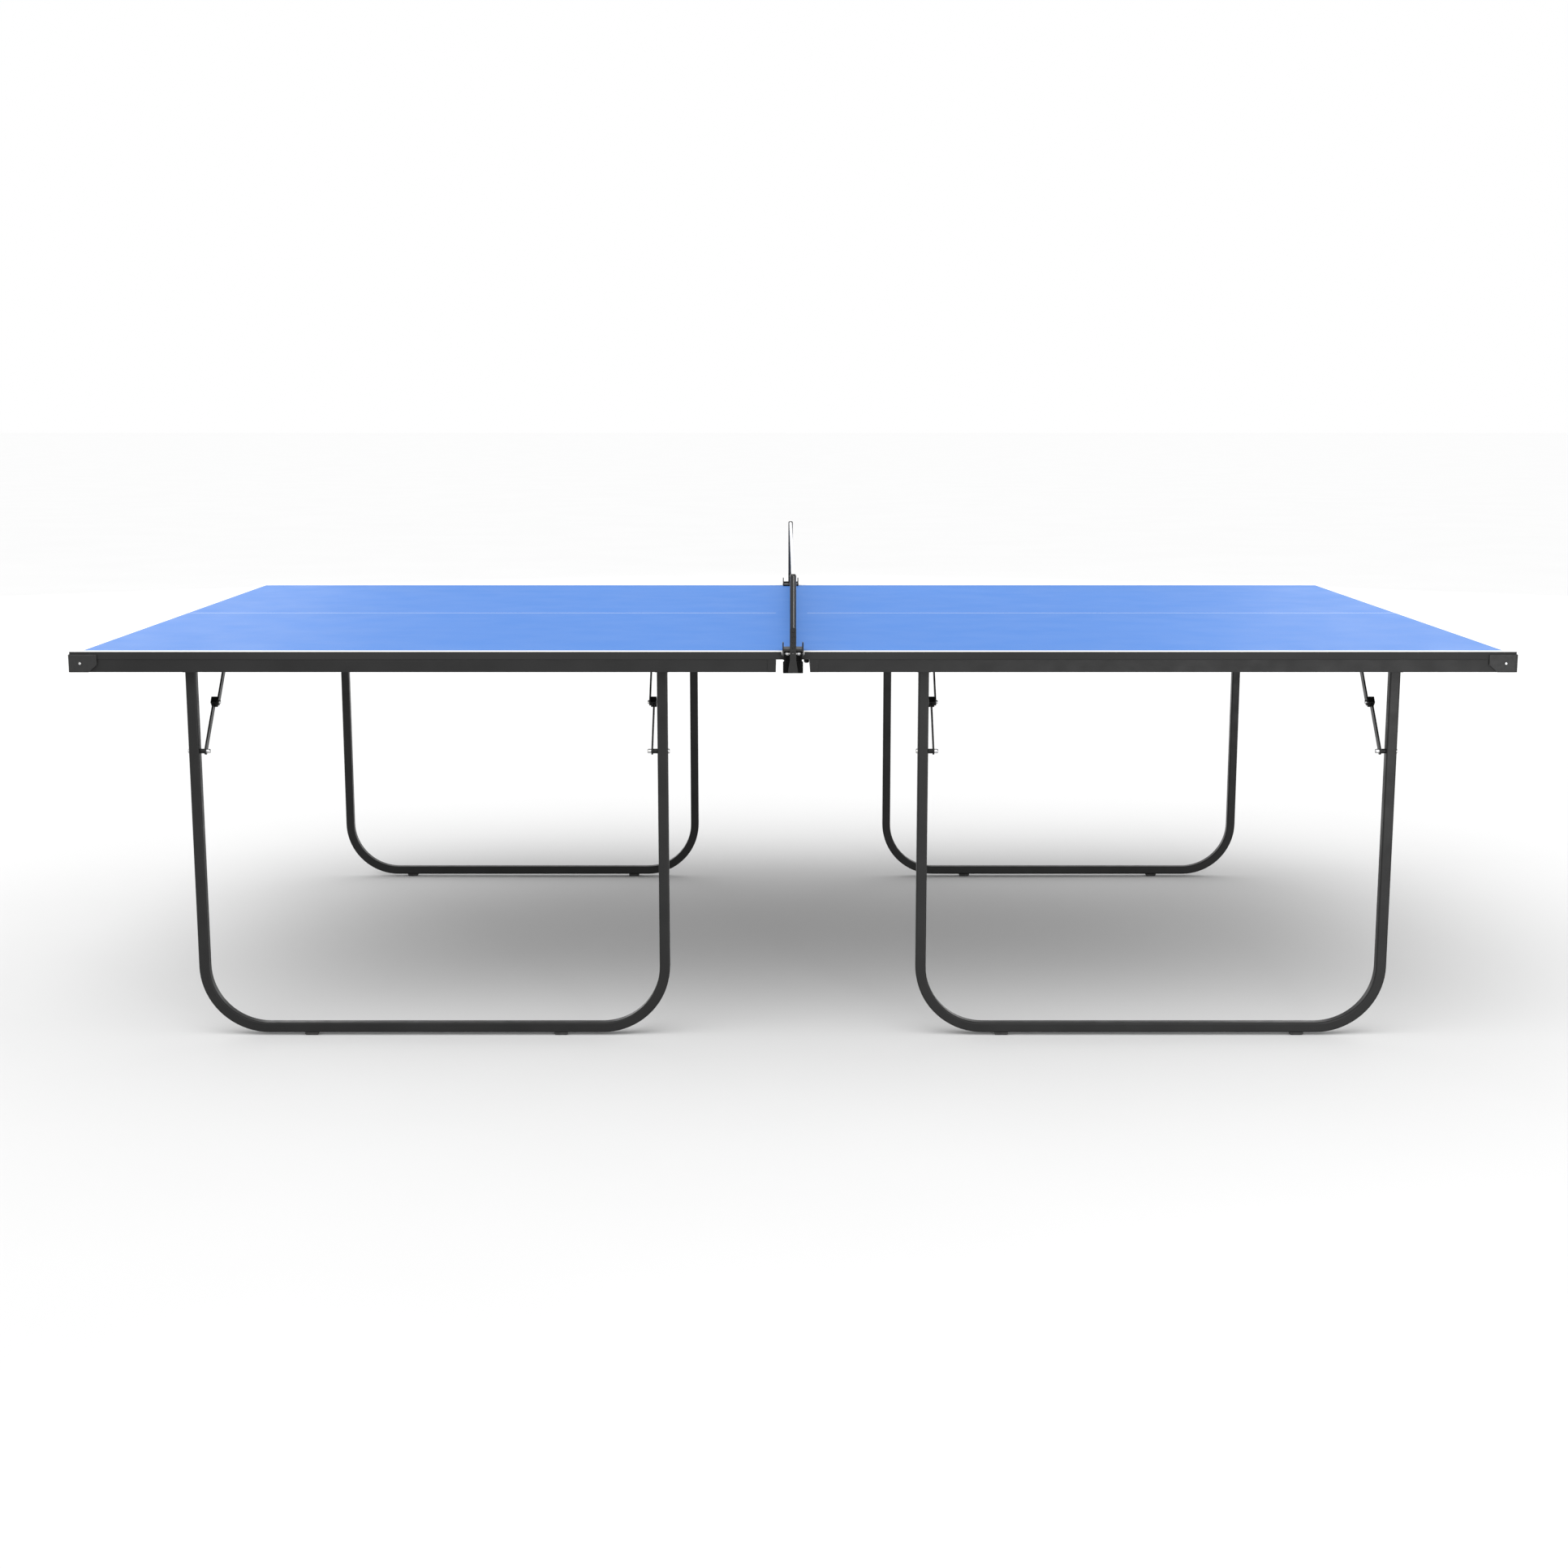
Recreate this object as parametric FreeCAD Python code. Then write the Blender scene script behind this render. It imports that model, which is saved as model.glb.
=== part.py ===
"""Ping pong table in two halves, with folding U legs, knee-locked braces and a clip-on net.

Row frame, millimetres: +X along the table, +Y across it, +Z up, origin on the floor under
the middle of the net.  The left half stands at -X and the right half at +X.  Each half has a
near U leg at -Y and a far one at +Y, and both fold inwards, flat under the board.
"""
import FreeCAD
import Part
import math
import os

from FreeCAD import Vector

# ---------------------------------------------------------------- driving dimensions
HALF_LENGTH = 1370.0        # one half of the playing surface, along X
TABLE_WIDTH = 1525.0        # along Y
TOP_HEIGHT = 760.0          # playing surface above the floor
BOARD_THICKNESS = 15.0
HALF_GAP = 0.3              # from the middle of the table to each board

RAIL_HEIGHT = 24.0          # box section under the board's edges
RAIL_DEPTH = 20.0
RAIL_WALL = 1.5
SIDE_RAIL_START = 48.5      # where a side rail begins, from the middle of the table
SIDE_RAIL_SET_BACK = 1.0    # from the board's side to the side rail's face
CENTRE_RAIL_WIDTH = 16.0
CAP_WALL = 1.5              # plate that closes each end of the centre rail
DRAIN_RADIUS = 3.0          # coating drain holes under the centre rail
DRAIN_INSET = 60.0          # from the board's side to a drain hole

CORNER_REACH = 52.0         # a corner protector's length along each rail
CORNER_WALL = 3.0
CORNER_TOP_STEP = 5.4       # from the playing surface down to the protector
CORNER_ROUND = 6.0
CORNER_EDGE = 1.0           # bevel of the protector's top edge
CORNER_CUT = 16.5           # cut-off lower corner of the protector, along the rail
CORNER_CUT_HEIGHT = 14.4    # and up it
CORNER_SCREW_INSET = 20.5   # from the table's end to the protector's screw on its side
END_SCREW_INSET = 26.0      # from the table's side to the protector's screw on its end

TUBE = 20.0                 # square leg tube
TUBE_ROUND = 3.0
TUBE_WALL = 1.2
LEG_NEAR_MIDDLE = 250.0     # centreline of a U's inner tube, from the middle of the table
LEG_END_INSET = 220.0       # from the table's end to the centreline of a U's outer tube
BEND_RADIUS = 123.0         # of the tube's centreline
HINGE_DROP = 21.0           # from the board's underside to the leg's hinge
TUBE_ABOVE_HINGE = 8.0

PAD_LENGTH = 26.0           # rubber feet
PAD_WIDTH = 17.5
PAD_HEIGHT = 5.5
PAD_CHAMFER = 2.0
PAD_FAR_FROM_BEND = 82.0    # from the end of the bend to the middle of a pad
PAD_NEAR_BEND = 37.0

BRACE_DROP = 160.2          # from the leg's hinge to the lower end of its brace
BRACE_REACH = 148.2         # from the leg's hinge to the upper end of its brace
LINK_WIDTH = 14.0
LINK_THICKNESS = 3.0
LINK_STANDOFF = 9.0         # from the tube's face to the lower link
LINK_STEP = 5.0             # between the lower and the upper link
KNEE_HEAD_RADIUS = 3.6
KNEE_HEAD_HEIGHT = 3.4

BRACE_BOLT_RADIUS = 3.0
BRACE_BOLT_HEAD_RADIUS = 4.6
BRACE_BOLT_HEAD_HEIGHT = 3.4
CAP_NUT_RADIUS = 4.2
BOSS_RADIUS = 4.6           # boss on the lower link that keeps it off the tube

LOCK_LENGTH = 15.0          # sliding lock over the knee, along the link
LOCK_WIDTH = 16.5
LOCK_PAST_KNEE = 8.0
LOCK_WALL = 3.5             # from the lower link to the lock's face on the tube's side
LOCK_ROUND = 1.5

HINGE_BOLT_RADIUS = 4.0
HINGE_HEAD_RADIUS = 6.0
HINGE_HEAD_HEIGHT = 4.0
BRACKET_SHEET = 2.0
BRACKET_OFF_RAIL = 1.1      # from the side rail to the leg bracket's back
EAR_BELOW_HINGE = 6.0
EAR_INBOARD = 20.0
FLANGE = 16.0
FLANGE_HOLE_INBOARD = 4.0   # from the hinge to the flange's screw
BRACE_BRACKET_ROUND = 6.5
PIVOT_HEAD_HEIGHT = 2.6
HEAD_ROUND = 0.6            # share of a button head's smaller size that is rounded over

SCREW_RADIUS = 2.0
SCREW_HEAD_RADIUS = 4.0
SCREW_HEAD_HEIGHT = 1.8
SCREW_BITE = 10.0
CORNER_SCREW_HEAD_RADIUS = 2.6
CORNER_SCREW_LENGTH = 12.0

FORK_LENGTH = 63.0          # joining plate between the halves, along X
FORK_WIDTH = 24.0
FORK_SHEET = 3.0
FORK_INSET = 41.0           # from the board's side to the plate's centreline
FORK_SCREW_X = 15.5         # from the middle of the table to the plate's screws
FORK_SCREW_SPREAD = 6.0     # from the plate's centreline to each screw
STUD_X = 26.0
STUD_RADIUS = 4.0
STUD_HEAD_RADIUS = 5.0
STUD_HEAD_HEIGHT = 7.5

JAW_WIDTH = 40.0            # net clip
JAW_SHEET = 2.5
JAW_REACH = 50.0            # of the upper jaw over the playing surface
JAW_PAD_HEIGHT = 2.3
JAW_PAD_MARGIN = 1.0        # from a pad's edge to the edge of its jaw
JAW_BASE_HEIGHT = 2.0
JAW_EAR_TOP = 17.5          # above the playing surface
JAW_EAR_OUT = 17.0          # beyond the board's side
JAW_EAR_BOTTOM = 7.0        # below the playing surface
JAW_EAR_EDGE = 4.0          # height of the ear's inner end above the base
JAW_EAR_CREST = 12.0        # ear's full height begins this far in from the board's side
JAW_EAR_SHOULDER = 6.0      # and ends this far beyond it
JAW_EAR_SLOPE = 9.0         # drop from there to the ear's front
LIP_HEIGHT = 4.0
LIP_LIFT = 3.0              # from the playing surface to the underside of the lip
GUIDE_HEIGHT = 23.0
GUIDE_WIDTH = 11.0
GUIDE_DEPTH = 3.0
PIN_OUT = 10.0              # clip's hinge pin, beyond the board's side
PIN_DROP = 2.0              # and below the playing surface
PIN_RADIUS = 2.5
PIN_HEAD_RADIUS = 3.7
PIN_HEAD_HEIGHT = 1.5
SPRING_RADIUS = 4.5
SPRING_LENGTH = 5.5
SPRING_OFFSET = 11.0

LOWER_JAW_WIDTH = 38.0
LOWER_JAW_TOP = 18.0        # below the playing surface
LOWER_JAW_BOTTOM = 40.0
LOWER_JAW_DEPTH = 7.0
LOWER_NECK_WIDTH = 34.0
LOWER_NECK_TOP = 7.0
LOWER_ARM_REACH = 25.0
LOWER_ARM_SHEET = 3.0
LOWER_JAW_ROUND = 1.5
LOWER_LAP = 4.0             # neck and ears run this far down into the jaw
LOWER_EAR_ROUND_PIN = 4.0   # metal of the ear beyond the pin's axis
LOWER_PAD_LENGTH = 20.0
LOWER_PAD_HEIGHT = 3.0

POST_RADIUS = 6.0
POST_OUT = 12.5             # post's axis beyond the board's side
POST_TOP = 155.0            # above the playing surface, midway between the two posts' tops
PLATE_WIDTH = 11.8          # notched plate and thumb tab in front of the post
PLATE_SHEET = 2.0
PLATE_TOP = 46.5            # above the playing surface
PLATE_NECK = 14.0           # below the playing surface, where the tab begins
TAB_WIDTH = 19.5
TAB_BOTTOM = 38.0
TAB_ROUND = 2.5
NOTCH = 3.7
NOTCH_PITCH = 10.0
NOTCH_COUNT = 5
NOTCH_FIRST = 7.0           # from the plate's top to the first notch

NET_HEIGHT = 153.5          # above the playing surface, at the middle of the net
NET_TILT = 7.0              # how much the near end is set lower, and the far end higher
NET_LIFT = 0.7              # from the clips' bases to the lower edge of the net
NET_THICKNESS = 2.0
NET_PAST_SIDE = 2.5
TAPE_HEIGHT = 15.0
TAPE_THICKNESS = 6.5
TAPE_ROUND = 2.6

CLEARANCE = 0.3             # between pieces that move against each other
SLIP = 0.1                  # radial, between a fixed screw or bolt and its hole
PAST = 1.0                  # how far a cutting shape runs beyond the face it cuts
SAME = 1e-6                 # two coordinates nearer than this are the same

# ---------------------------------------------------------------- places that follow from them
BOARD_BOTTOM = TOP_HEIGHT - BOARD_THICKNESS
RAIL_BOTTOM = BOARD_BOTTOM - RAIL_HEIGHT
SIDE = TABLE_WIDTH / 2
CENTRE_RAIL_START = SIDE_RAIL_START - CENTRE_RAIL_WIDTH
HINGE_Z = BOARD_BOTTOM - HINGE_DROP
TUBE_TOP_REACH = math.hypot(TUBE / 2, TUBE_ABOVE_HINGE)
BRACKET_BACK = SIDE - RAIL_DEPTH - BRACKET_OFF_RAIL
LEG_Y = BRACKET_BACK - BRACKET_SHEET - 2 * CLEARANCE - TUBE_TOP_REACH
LEG_SPACING = HALF_LENGTH - LEG_NEAR_MIDDLE - LEG_END_INSET
LEG_CENTRE = LEG_NEAR_MIDDLE + LEG_SPACING / 2
TUBE_TOP = HINGE_Z + TUBE_ABOVE_HINGE
BAR_Z = PAD_HEIGHT + TUBE / 2
BRACE_Z = HINGE_Z - BRACE_DROP
SPAN = math.hypot(BRACE_DROP, BRACE_REACH)
LOWER_LINK = (SPAN + BRACE_DROP - BRACE_REACH) / 2
UPPER_LINK = SPAN - LOWER_LINK
BRACE_ANGLE = math.degrees(math.atan2(BRACE_DROP, BRACE_REACH))
LINK_HOLE = BRACE_BOLT_RADIUS + CLEARANCE
UPPER_OFFSET = LINK_STANDOFF + LINK_THICKNESS + LINK_STEP
CAP_NUT_LENGTH = LINK_STEP + LINK_THICKNESS - CLEARANCE

HALVES = {"left": -1.0, "right": 1.0}
SIDES = {"near": -1.0, "far": 1.0}

nodes = {}


def keep(name, *solids):
    """Store one node: one solid, or a group of separate ones."""
    nodes[name] = solids[0] if len(solids) == 1 else Part.makeCompound(list(solids))


# ---------------------------------------------------------------- shapes
def block(x0, x1, y0, y1, z0, z1):
    """Box between two corners given in any order."""
    lo = Vector(min(x0, x1), min(y0, y1), min(z0, z1))
    hi = Vector(max(x0, x1), max(y0, y1), max(z0, z1))
    size = hi - lo
    return Part.makeBox(size.x, size.y, size.z, lo)


def rod(radius, start, end):
    """Round bar between two points."""
    axis = Vector(*end) - Vector(*start)
    return Part.makeCylinder(radius, axis.Length, Vector(*start), axis)


def dome(radius, height, start, direction):
    """Button head: a disc whose free rim is rounded over."""
    head = Part.makeCylinder(radius, height, Vector(*start), Vector(*direction))
    rims = [e for e in head.Edges if len(e.Vertexes) == 1]
    far = max(rims, key=lambda e: (e.CenterOfMass - Vector(*start)).Length)
    return head.makeFillet(min(radius, height) * HEAD_ROUND, [far])


def prism(points, extrusion):
    """Solid from a closed outline and a direction."""
    outline = [Vector(*p) for p in points]
    wire = Part.makePolygon(outline + outline[:1])
    return Part.Face(wire).extrude(Vector(*extrusion))


def along(solid, direction, radius):
    """Round the straight edges that run along a direction."""
    wanted = Vector(*direction)
    edges = []
    for edge in solid.Edges:
        if isinstance(edge.Curve, Part.Line) and edge.Curve.Direction.cross(wanted).Length < SAME:
            edges.append(edge)
    return solid.makeFillet(radius, edges)


def bevel_below(solid, z, size):
    """Chamfer every edge that lies at one height."""
    edges = [e for e in solid.Edges if all(abs(v.Z - z) < SAME for v in e.Vertexes)]
    return solid.makeChamfer(size, edges)


def section_tube(path, corner, grow):
    """Rounded square section swept along a path that starts straight down."""
    half = TUBE / 2 - grow
    start = path.OrderedVertexes[0].Point
    plate = Part.makeBox(2 * half, 2 * half, PAST, start - Vector(half, half, 0))
    plate = along(plate, (0, 0, 1), corner)
    level = [f for f in plate.Faces if abs(f.CenterOfMass.z - start.z) < SAME][0]
    return path.makePipeShell([level.OuterWire], True, False)


# ---------------------------------------------------------------- top, rails and corners
def board(hand):
    slab = block(hand * HALF_GAP, hand * HALF_LENGTH, -SIDE, SIDE, BOARD_BOTTOM, TOP_HEIGHT)
    for hole in screw_places(hand):
        slab = slab.cut(rod(SCREW_RADIUS + SLIP, (*hole, BOARD_BOTTOM),
                            (*hole, BOARD_BOTTOM + SCREW_BITE + CLEARANCE)))
    return slab


def hollow_rail(x0, x1, y0, y1, runs_along_x):
    """Box section rail with open ends."""
    outer = block(x0, x1, y0, y1, RAIL_BOTTOM, BOARD_BOTTOM)
    low = RAIL_BOTTOM + RAIL_WALL
    high = BOARD_BOTTOM - RAIL_WALL
    if runs_along_x:
        inner = block(x0, x1, min(y0, y1) + RAIL_WALL, max(y0, y1) - RAIL_WALL, low, high)
    else:
        inner = block(min(x0, x1) + RAIL_WALL, max(x0, x1) - RAIL_WALL, y0, y1, low, high)
    return outer.cut(inner)


def corner_screws(hand, side):
    """Centre and outward direction of the two screws of one corner protector."""
    z = (RAIL_BOTTOM + TOP_HEIGHT - CORNER_TOP_STEP) / 2
    x = hand * (HALF_LENGTH - CORNER_SCREW_INSET)
    y = side * (SIDE - END_SCREW_INSET)
    on_side = ((x, side * (SIDE + CORNER_WALL), z), (0.0, side, 0.0))
    on_end = ((hand * (HALF_LENGTH + CORNER_WALL), y, z), (hand, 0.0, 0.0))
    return on_side, on_end


def screw_shank(place, direction, extra):
    start = Vector(*place)
    end = start - Vector(*direction) * CORNER_SCREW_LENGTH
    return rod(SCREW_RADIUS + extra, tuple(start), tuple(end))


def side_rail(hand, side):
    rail = hollow_rail(hand * SIDE_RAIL_START, hand * HALF_LENGTH,
                       side * (SIDE - SIDE_RAIL_SET_BACK), side * (SIDE - RAIL_DEPTH), True)
    return rail.cut(screw_shank(*corner_screws(hand, side)[0], SLIP))


def end_rail(hand):
    reach = SIDE - RAIL_DEPTH
    rail = hollow_rail(hand * (HALF_LENGTH - RAIL_DEPTH), hand * HALF_LENGTH, -reach, reach, False)
    for side in SIDES.values():
        rail = rail.cut(screw_shank(*corner_screws(hand, side)[1], SLIP))
    return rail


def centre_rail(hand):
    """Box section rail across the table, with plates welded over its ends and two drain holes."""
    inner = SIDE - CAP_WALL
    rail = hollow_rail(hand * CENTRE_RAIL_START, hand * SIDE_RAIL_START, -inner, inner, False)
    x = hand * (CENTRE_RAIL_START + SIDE_RAIL_START) / 2
    for side in SIDES.values():
        rail = rail.fuse(block(hand * CENTRE_RAIL_START, hand * SIDE_RAIL_START,
                               side * inner, side * SIDE, RAIL_BOTTOM, BOARD_BOTTOM))
        y = side * (SIDE - DRAIN_INSET)
        rail = rail.cut(rod(DRAIN_RADIUS, (x, y, RAIL_BOTTOM - PAST),
                            (x, y, RAIL_BOTTOM + RAIL_WALL + PAST)))
    return rail.removeSplitter()


def corner_protector(hand, side):
    """Moulded L round the corner, with chamfered ends and a bevelled top edge."""
    top = TOP_HEIGHT - CORNER_TOP_STEP
    low = RAIL_BOTTOM
    x_end = hand * (HALF_LENGTH + CORNER_WALL)
    y_side = side * (SIDE + CORNER_WALL)
    x_in = hand * (HALF_LENGTH - CORNER_REACH)
    y_in = side * (SIDE - CORNER_REACH)
    shell = block(x_in, x_end, y_in, y_side, low, top)
    upright = [e for e in shell.Edges
               if all(abs(v.X - x_end) + abs(v.Y - y_side) < SAME for v in e.Vertexes)]
    shell = shell.makeFillet(CORNER_ROUND, upright)
    rim = [e for e in shell.Edges if all(abs(v.Z - top) < SAME for v in e.Vertexes)
           and abs(e.CenterOfMass.x - x_in) > SAME and abs(e.CenterOfMass.y - y_in) > SAME]
    shell = shell.makeChamfer(CORNER_EDGE, rim)
    shell = shell.cut(block(x_in, hand * HALF_LENGTH, y_in, side * SIDE, low, top))
    cut_z = low + CORNER_CUT_HEIGHT
    y_out = y_side + side * PAST
    side_cut = [(x_in, y_out, low), (x_in, y_out, cut_z), (x_in + hand * CORNER_CUT, y_out, low)]
    shell = shell.cut(prism(side_cut, (0, -side * (CORNER_WALL + 2 * PAST), 0)))
    x_out = x_end + hand * PAST
    end_cut = [(x_out, y_in, low), (x_out, y_in, cut_z), (x_out, y_in + side * CORNER_CUT, low)]
    shell = shell.cut(prism(end_cut, (-hand * (CORNER_WALL + 2 * PAST), 0, 0)))
    for place, direction in corner_screws(hand, side):
        shell = shell.cut(screw_shank(place, direction, SLIP))
    return shell


def corner_screw(place, direction):
    head = dome(CORNER_SCREW_HEAD_RADIUS, SCREW_HEAD_HEIGHT, place, direction)
    return head.fuse(screw_shank(place, direction, 0.0)).removeSplitter()


# ---------------------------------------------------------------- brackets under the board
def legs_of(hand):
    """Every leg tube of one half: its X, the side it stands on, and the way to the U's middle."""
    found = []
    for side in SIDES.values():
        for x, inward in ((LEG_NEAR_MIDDLE, 1.0), (LEG_NEAR_MIDDLE + LEG_SPACING, -1.0)):
            found.append((hand * x, side, hand * inward))
    return found


def brace_plane(x, inward):
    """X of the face of the brace bracket that the upper link swings beside."""
    return x + inward * (TUBE / 2 + UPPER_OFFSET + LINK_THICKNESS + CLEARANCE)


def bracket_holes(x, side):
    """Screw holes in the two flanges of a leg bracket."""
    off = TUBE / 2 + 2 * CLEARANCE + BRACKET_SHEET + FLANGE / 2
    y = side * (LEG_Y - FLANGE_HOLE_INBOARD)
    return [(x - off, y), (x + off, y)]


def brace_bracket_holes(x, side, inward):
    plane = brace_plane(x, inward) + inward * (BRACKET_SHEET + FLANGE / 2)
    y = side * (LEG_Y - BRACE_REACH)
    return [(plane, y - FLANGE / 2), (plane, y + FLANGE / 2)]


def fork_holes(side):
    y = side * (SIDE - FORK_INSET)
    return [(-FORK_SCREW_X, y - FORK_SCREW_SPREAD), (-FORK_SCREW_X, y + FORK_SCREW_SPREAD)]


def screw_places(hand):
    places = []
    for x, side, inward in legs_of(hand):
        places += bracket_holes(x, side) + brace_bracket_holes(x, side, inward)
    for side in SIDES.values():
        if hand < 0:
            places += fork_holes(side)
        else:
            places.append((STUD_X, side * (SIDE - FORK_INSET)))
    return places


def leg_bracket(x, side):
    """Pressed channel: two ears, an outboard web and two flanges against the board."""
    inner = TUBE / 2 + 2 * CLEARANCE
    outer = inner + BRACKET_SHEET
    back = side * (BRACKET_BACK - BRACKET_SHEET)
    front = side * (LEG_Y - EAR_INBOARD)
    low = HINGE_Z - EAR_BELOW_HINGE
    flange_z = BOARD_BOTTOM - BRACKET_SHEET
    shell = block(x - outer, x + outer, back + side * BRACKET_SHEET, front, low, BOARD_BOTTOM)
    shell = shell.cut(block(x - inner, x + inner, back, front, low, flange_z))
    shell = shell.fuse(block(x - outer - FLANGE, x + outer + FLANGE,
                             back + side * BRACKET_SHEET, front, flange_z, BOARD_BOTTOM))
    start = x - outer - PAST
    slope = prism([(start, front, low), (start, front, low + EAR_BELOW_HINGE),
                   (start, front + side * EAR_BELOW_HINGE, low)], (2 * (outer + PAST), 0, 0))
    shell = shell.cut(slope)
    shell = shell.cut(rod(HINGE_BOLT_RADIUS + SLIP, (start, side * LEG_Y, HINGE_Z),
                          (x + outer + PAST, side * LEG_Y, HINGE_Z)))
    for hole in bracket_holes(x, side):
        shell = shell.cut(rod(SCREW_RADIUS + SLIP, (*hole, flange_z - PAST), (*hole, BOARD_BOTTOM + PAST)))
    return shell.removeSplitter()


def hinge_bolt(x, side):
    """Bolt through the bracket's ears, with a button head and a nut."""
    outer = TUBE / 2 + 2 * CLEARANCE + BRACKET_SHEET
    y = side * LEG_Y
    shank = rod(HINGE_BOLT_RADIUS, (x - outer, y, HINGE_Z), (x + outer, y, HINGE_Z))
    head = dome(HINGE_HEAD_RADIUS, HINGE_HEAD_HEIGHT, (x + outer, y, HINGE_Z), (1, 0, 0))
    nut = dome(HINGE_HEAD_RADIUS, HINGE_HEAD_HEIGHT, (x - outer, y, HINGE_Z), (-1, 0, 0))
    return shank.fuse([head, nut]).removeSplitter()


def brace_bracket(x, side, inward):
    """Angle that holds the upper end of a brace, screwed to the board."""
    plane = brace_plane(x, inward)
    y = side * (LEG_Y - BRACE_REACH)
    low = HINGE_Z - LINK_WIDTH / 2
    plate = block(plane, plane + inward * BRACKET_SHEET, y - FLANGE, y + FLANGE, low, BOARD_BOTTOM)
    corners = [e for e in plate.Edges if all(abs(v.Z - low) < SAME for v in e.Vertexes)
               and abs(e.CenterOfMass.y - y) > FLANGE - SAME]
    plate = plate.makeFillet(BRACE_BRACKET_ROUND, corners)
    flange = block(plane, plane + inward * (BRACKET_SHEET + FLANGE), y - FLANGE, y + FLANGE,
                   BOARD_BOTTOM - BRACKET_SHEET, BOARD_BOTTOM)
    shell = plate.fuse(flange).removeSplitter()
    shell = shell.cut(rod(BRACE_BOLT_RADIUS + SLIP, (plane - inward * PAST, y, HINGE_Z),
                          (plane + inward * (BRACKET_SHEET + PAST), y, HINGE_Z)))
    for hole in brace_bracket_holes(x, side, inward):
        shell = shell.cut(rod(SCREW_RADIUS + SLIP, (*hole, BOARD_BOTTOM - BRACKET_SHEET - PAST),
                              (*hole, BOARD_BOTTOM + PAST)))
    return shell


def brace_top_bolt(x, side, inward):
    """Bolt that the upper link turns on, fixed in its bracket."""
    face = x + inward * (TUBE / 2 + UPPER_OFFSET - CLEARANCE)
    back = brace_plane(x, inward) + inward * BRACKET_SHEET
    y = side * (LEG_Y - BRACE_REACH)
    shank = rod(BRACE_BOLT_RADIUS, (face, y, HINGE_Z), (back, y, HINGE_Z))
    head = dome(BRACE_BOLT_HEAD_RADIUS, PIVOT_HEAD_HEIGHT, (face, y, HINGE_Z), (-inward, 0, 0))
    nut = dome(BRACE_BOLT_HEAD_RADIUS, HINGE_HEAD_HEIGHT, (back, y, HINGE_Z), (inward, 0, 0))
    return shank.fuse([head, nut]).removeSplitter()


def board_screw(x, y, under):
    """Pan head screw driven up into the board."""
    head = dome(SCREW_HEAD_RADIUS, SCREW_HEAD_HEIGHT, (x, y, under), (0, 0, -1))
    shank = rod(SCREW_RADIUS, (x, y, under), (x, y, BOARD_BOTTOM + SCREW_BITE))
    return head.fuse(shank).removeSplitter()


# ---------------------------------------------------------------- U legs and their braces
def leg_frame(hand, side):
    """Square tube bent to a U, drilled for its hinges and brace bolts."""
    x0 = hand * LEG_CENTRE - LEG_SPACING / 2
    x1 = hand * LEG_CENTRE + LEG_SPACING / 2
    y = side * LEG_Y
    bend_z = BAR_Z + BEND_RADIUS
    turn = BEND_RADIUS * (1 - math.sqrt(0.5))

    def path(top):
        ends = [Vector(x0, y, top), Vector(x0, y, bend_z), Vector(x0 + BEND_RADIUS, y, BAR_Z),
                Vector(x1 - BEND_RADIUS, y, BAR_Z), Vector(x1, y, bend_z), Vector(x1, y, top)]
        arc0 = Part.Arc(ends[1], Vector(x0 + turn, y, BAR_Z + turn), ends[2])
        arc1 = Part.Arc(ends[3], Vector(x1 - turn, y, BAR_Z + turn), ends[4])
        return Part.Wire([Part.LineSegment(ends[0], ends[1]).toShape(), arc0.toShape(),
                          Part.LineSegment(ends[2], ends[3]).toShape(), arc1.toShape(),
                          Part.LineSegment(ends[4], ends[5]).toShape()])

    frame = section_tube(path(TUBE_TOP), TUBE_ROUND, 0.0)
    bore = section_tube(path(TUBE_TOP + PAST), TUBE_ROUND - TUBE_WALL, TUBE_WALL)
    frame = frame.cut(bore)
    for x in (x0, x1):
        for z, radius in ((HINGE_Z, HINGE_BOLT_RADIUS + CLEARANCE), (BRACE_Z, BRACE_BOLT_RADIUS + SLIP)):
            frame = frame.cut(rod(radius, (x - TUBE, y, z), (x + TUBE, y, z)))
    return frame


def foot_pads(hand, side):
    offset = LEG_SPACING / 2 - BEND_RADIUS - (PAD_FAR_FROM_BEND if hand * side > 0 else PAD_NEAR_BEND)
    pads = []
    for sign in (-1, 1):
        x = hand * LEG_CENTRE + sign * offset
        pad = block(x - PAD_LENGTH / 2, x + PAD_LENGTH / 2, side * LEG_Y - PAD_WIDTH / 2,
                    side * LEG_Y + PAD_WIDTH / 2, 0, PAD_HEIGHT)
        pads.append(bevel_below(pad, 0.0, PAD_CHAMFER))
    return pads


def tubes_of_leg(hand, side):
    return [(x, inward) for x, found_side, inward in legs_of(hand) if found_side == side]


def brace_bolt(x, side, inward):
    """Bolt through the tube with its button head, and the cap nut that keeps the lower link on."""
    y = side * LEG_Y
    face = x + inward * TUBE / 2
    outside = x - inward * TUBE / 2
    nut_start = face + inward * (LINK_STANDOFF + LINK_THICKNESS + CLEARANCE)
    shank = rod(BRACE_BOLT_RADIUS, (outside, y, BRACE_Z), (nut_start, y, BRACE_Z))
    head = dome(BRACE_BOLT_HEAD_RADIUS, BRACE_BOLT_HEAD_HEIGHT, (outside, y, BRACE_Z), (-inward, 0, 0))
    nut = dome(CAP_NUT_RADIUS, CAP_NUT_LENGTH, (nut_start, y, BRACE_Z), (inward, 0, 0))
    return shank.fuse([head, nut]).removeSplitter()


def brace_axes(side):
    """Lower pivot, and the unit vectors along the brace and square to it, in the leg's plane."""
    angle = math.radians(BRACE_ANGLE)
    lower = Vector(0, side * LEG_Y, BRACE_Z)
    run = Vector(0, -side * math.cos(angle), math.sin(angle))
    across = Vector(0, side * math.sin(angle), math.cos(angle))
    return lower, run, across


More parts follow.
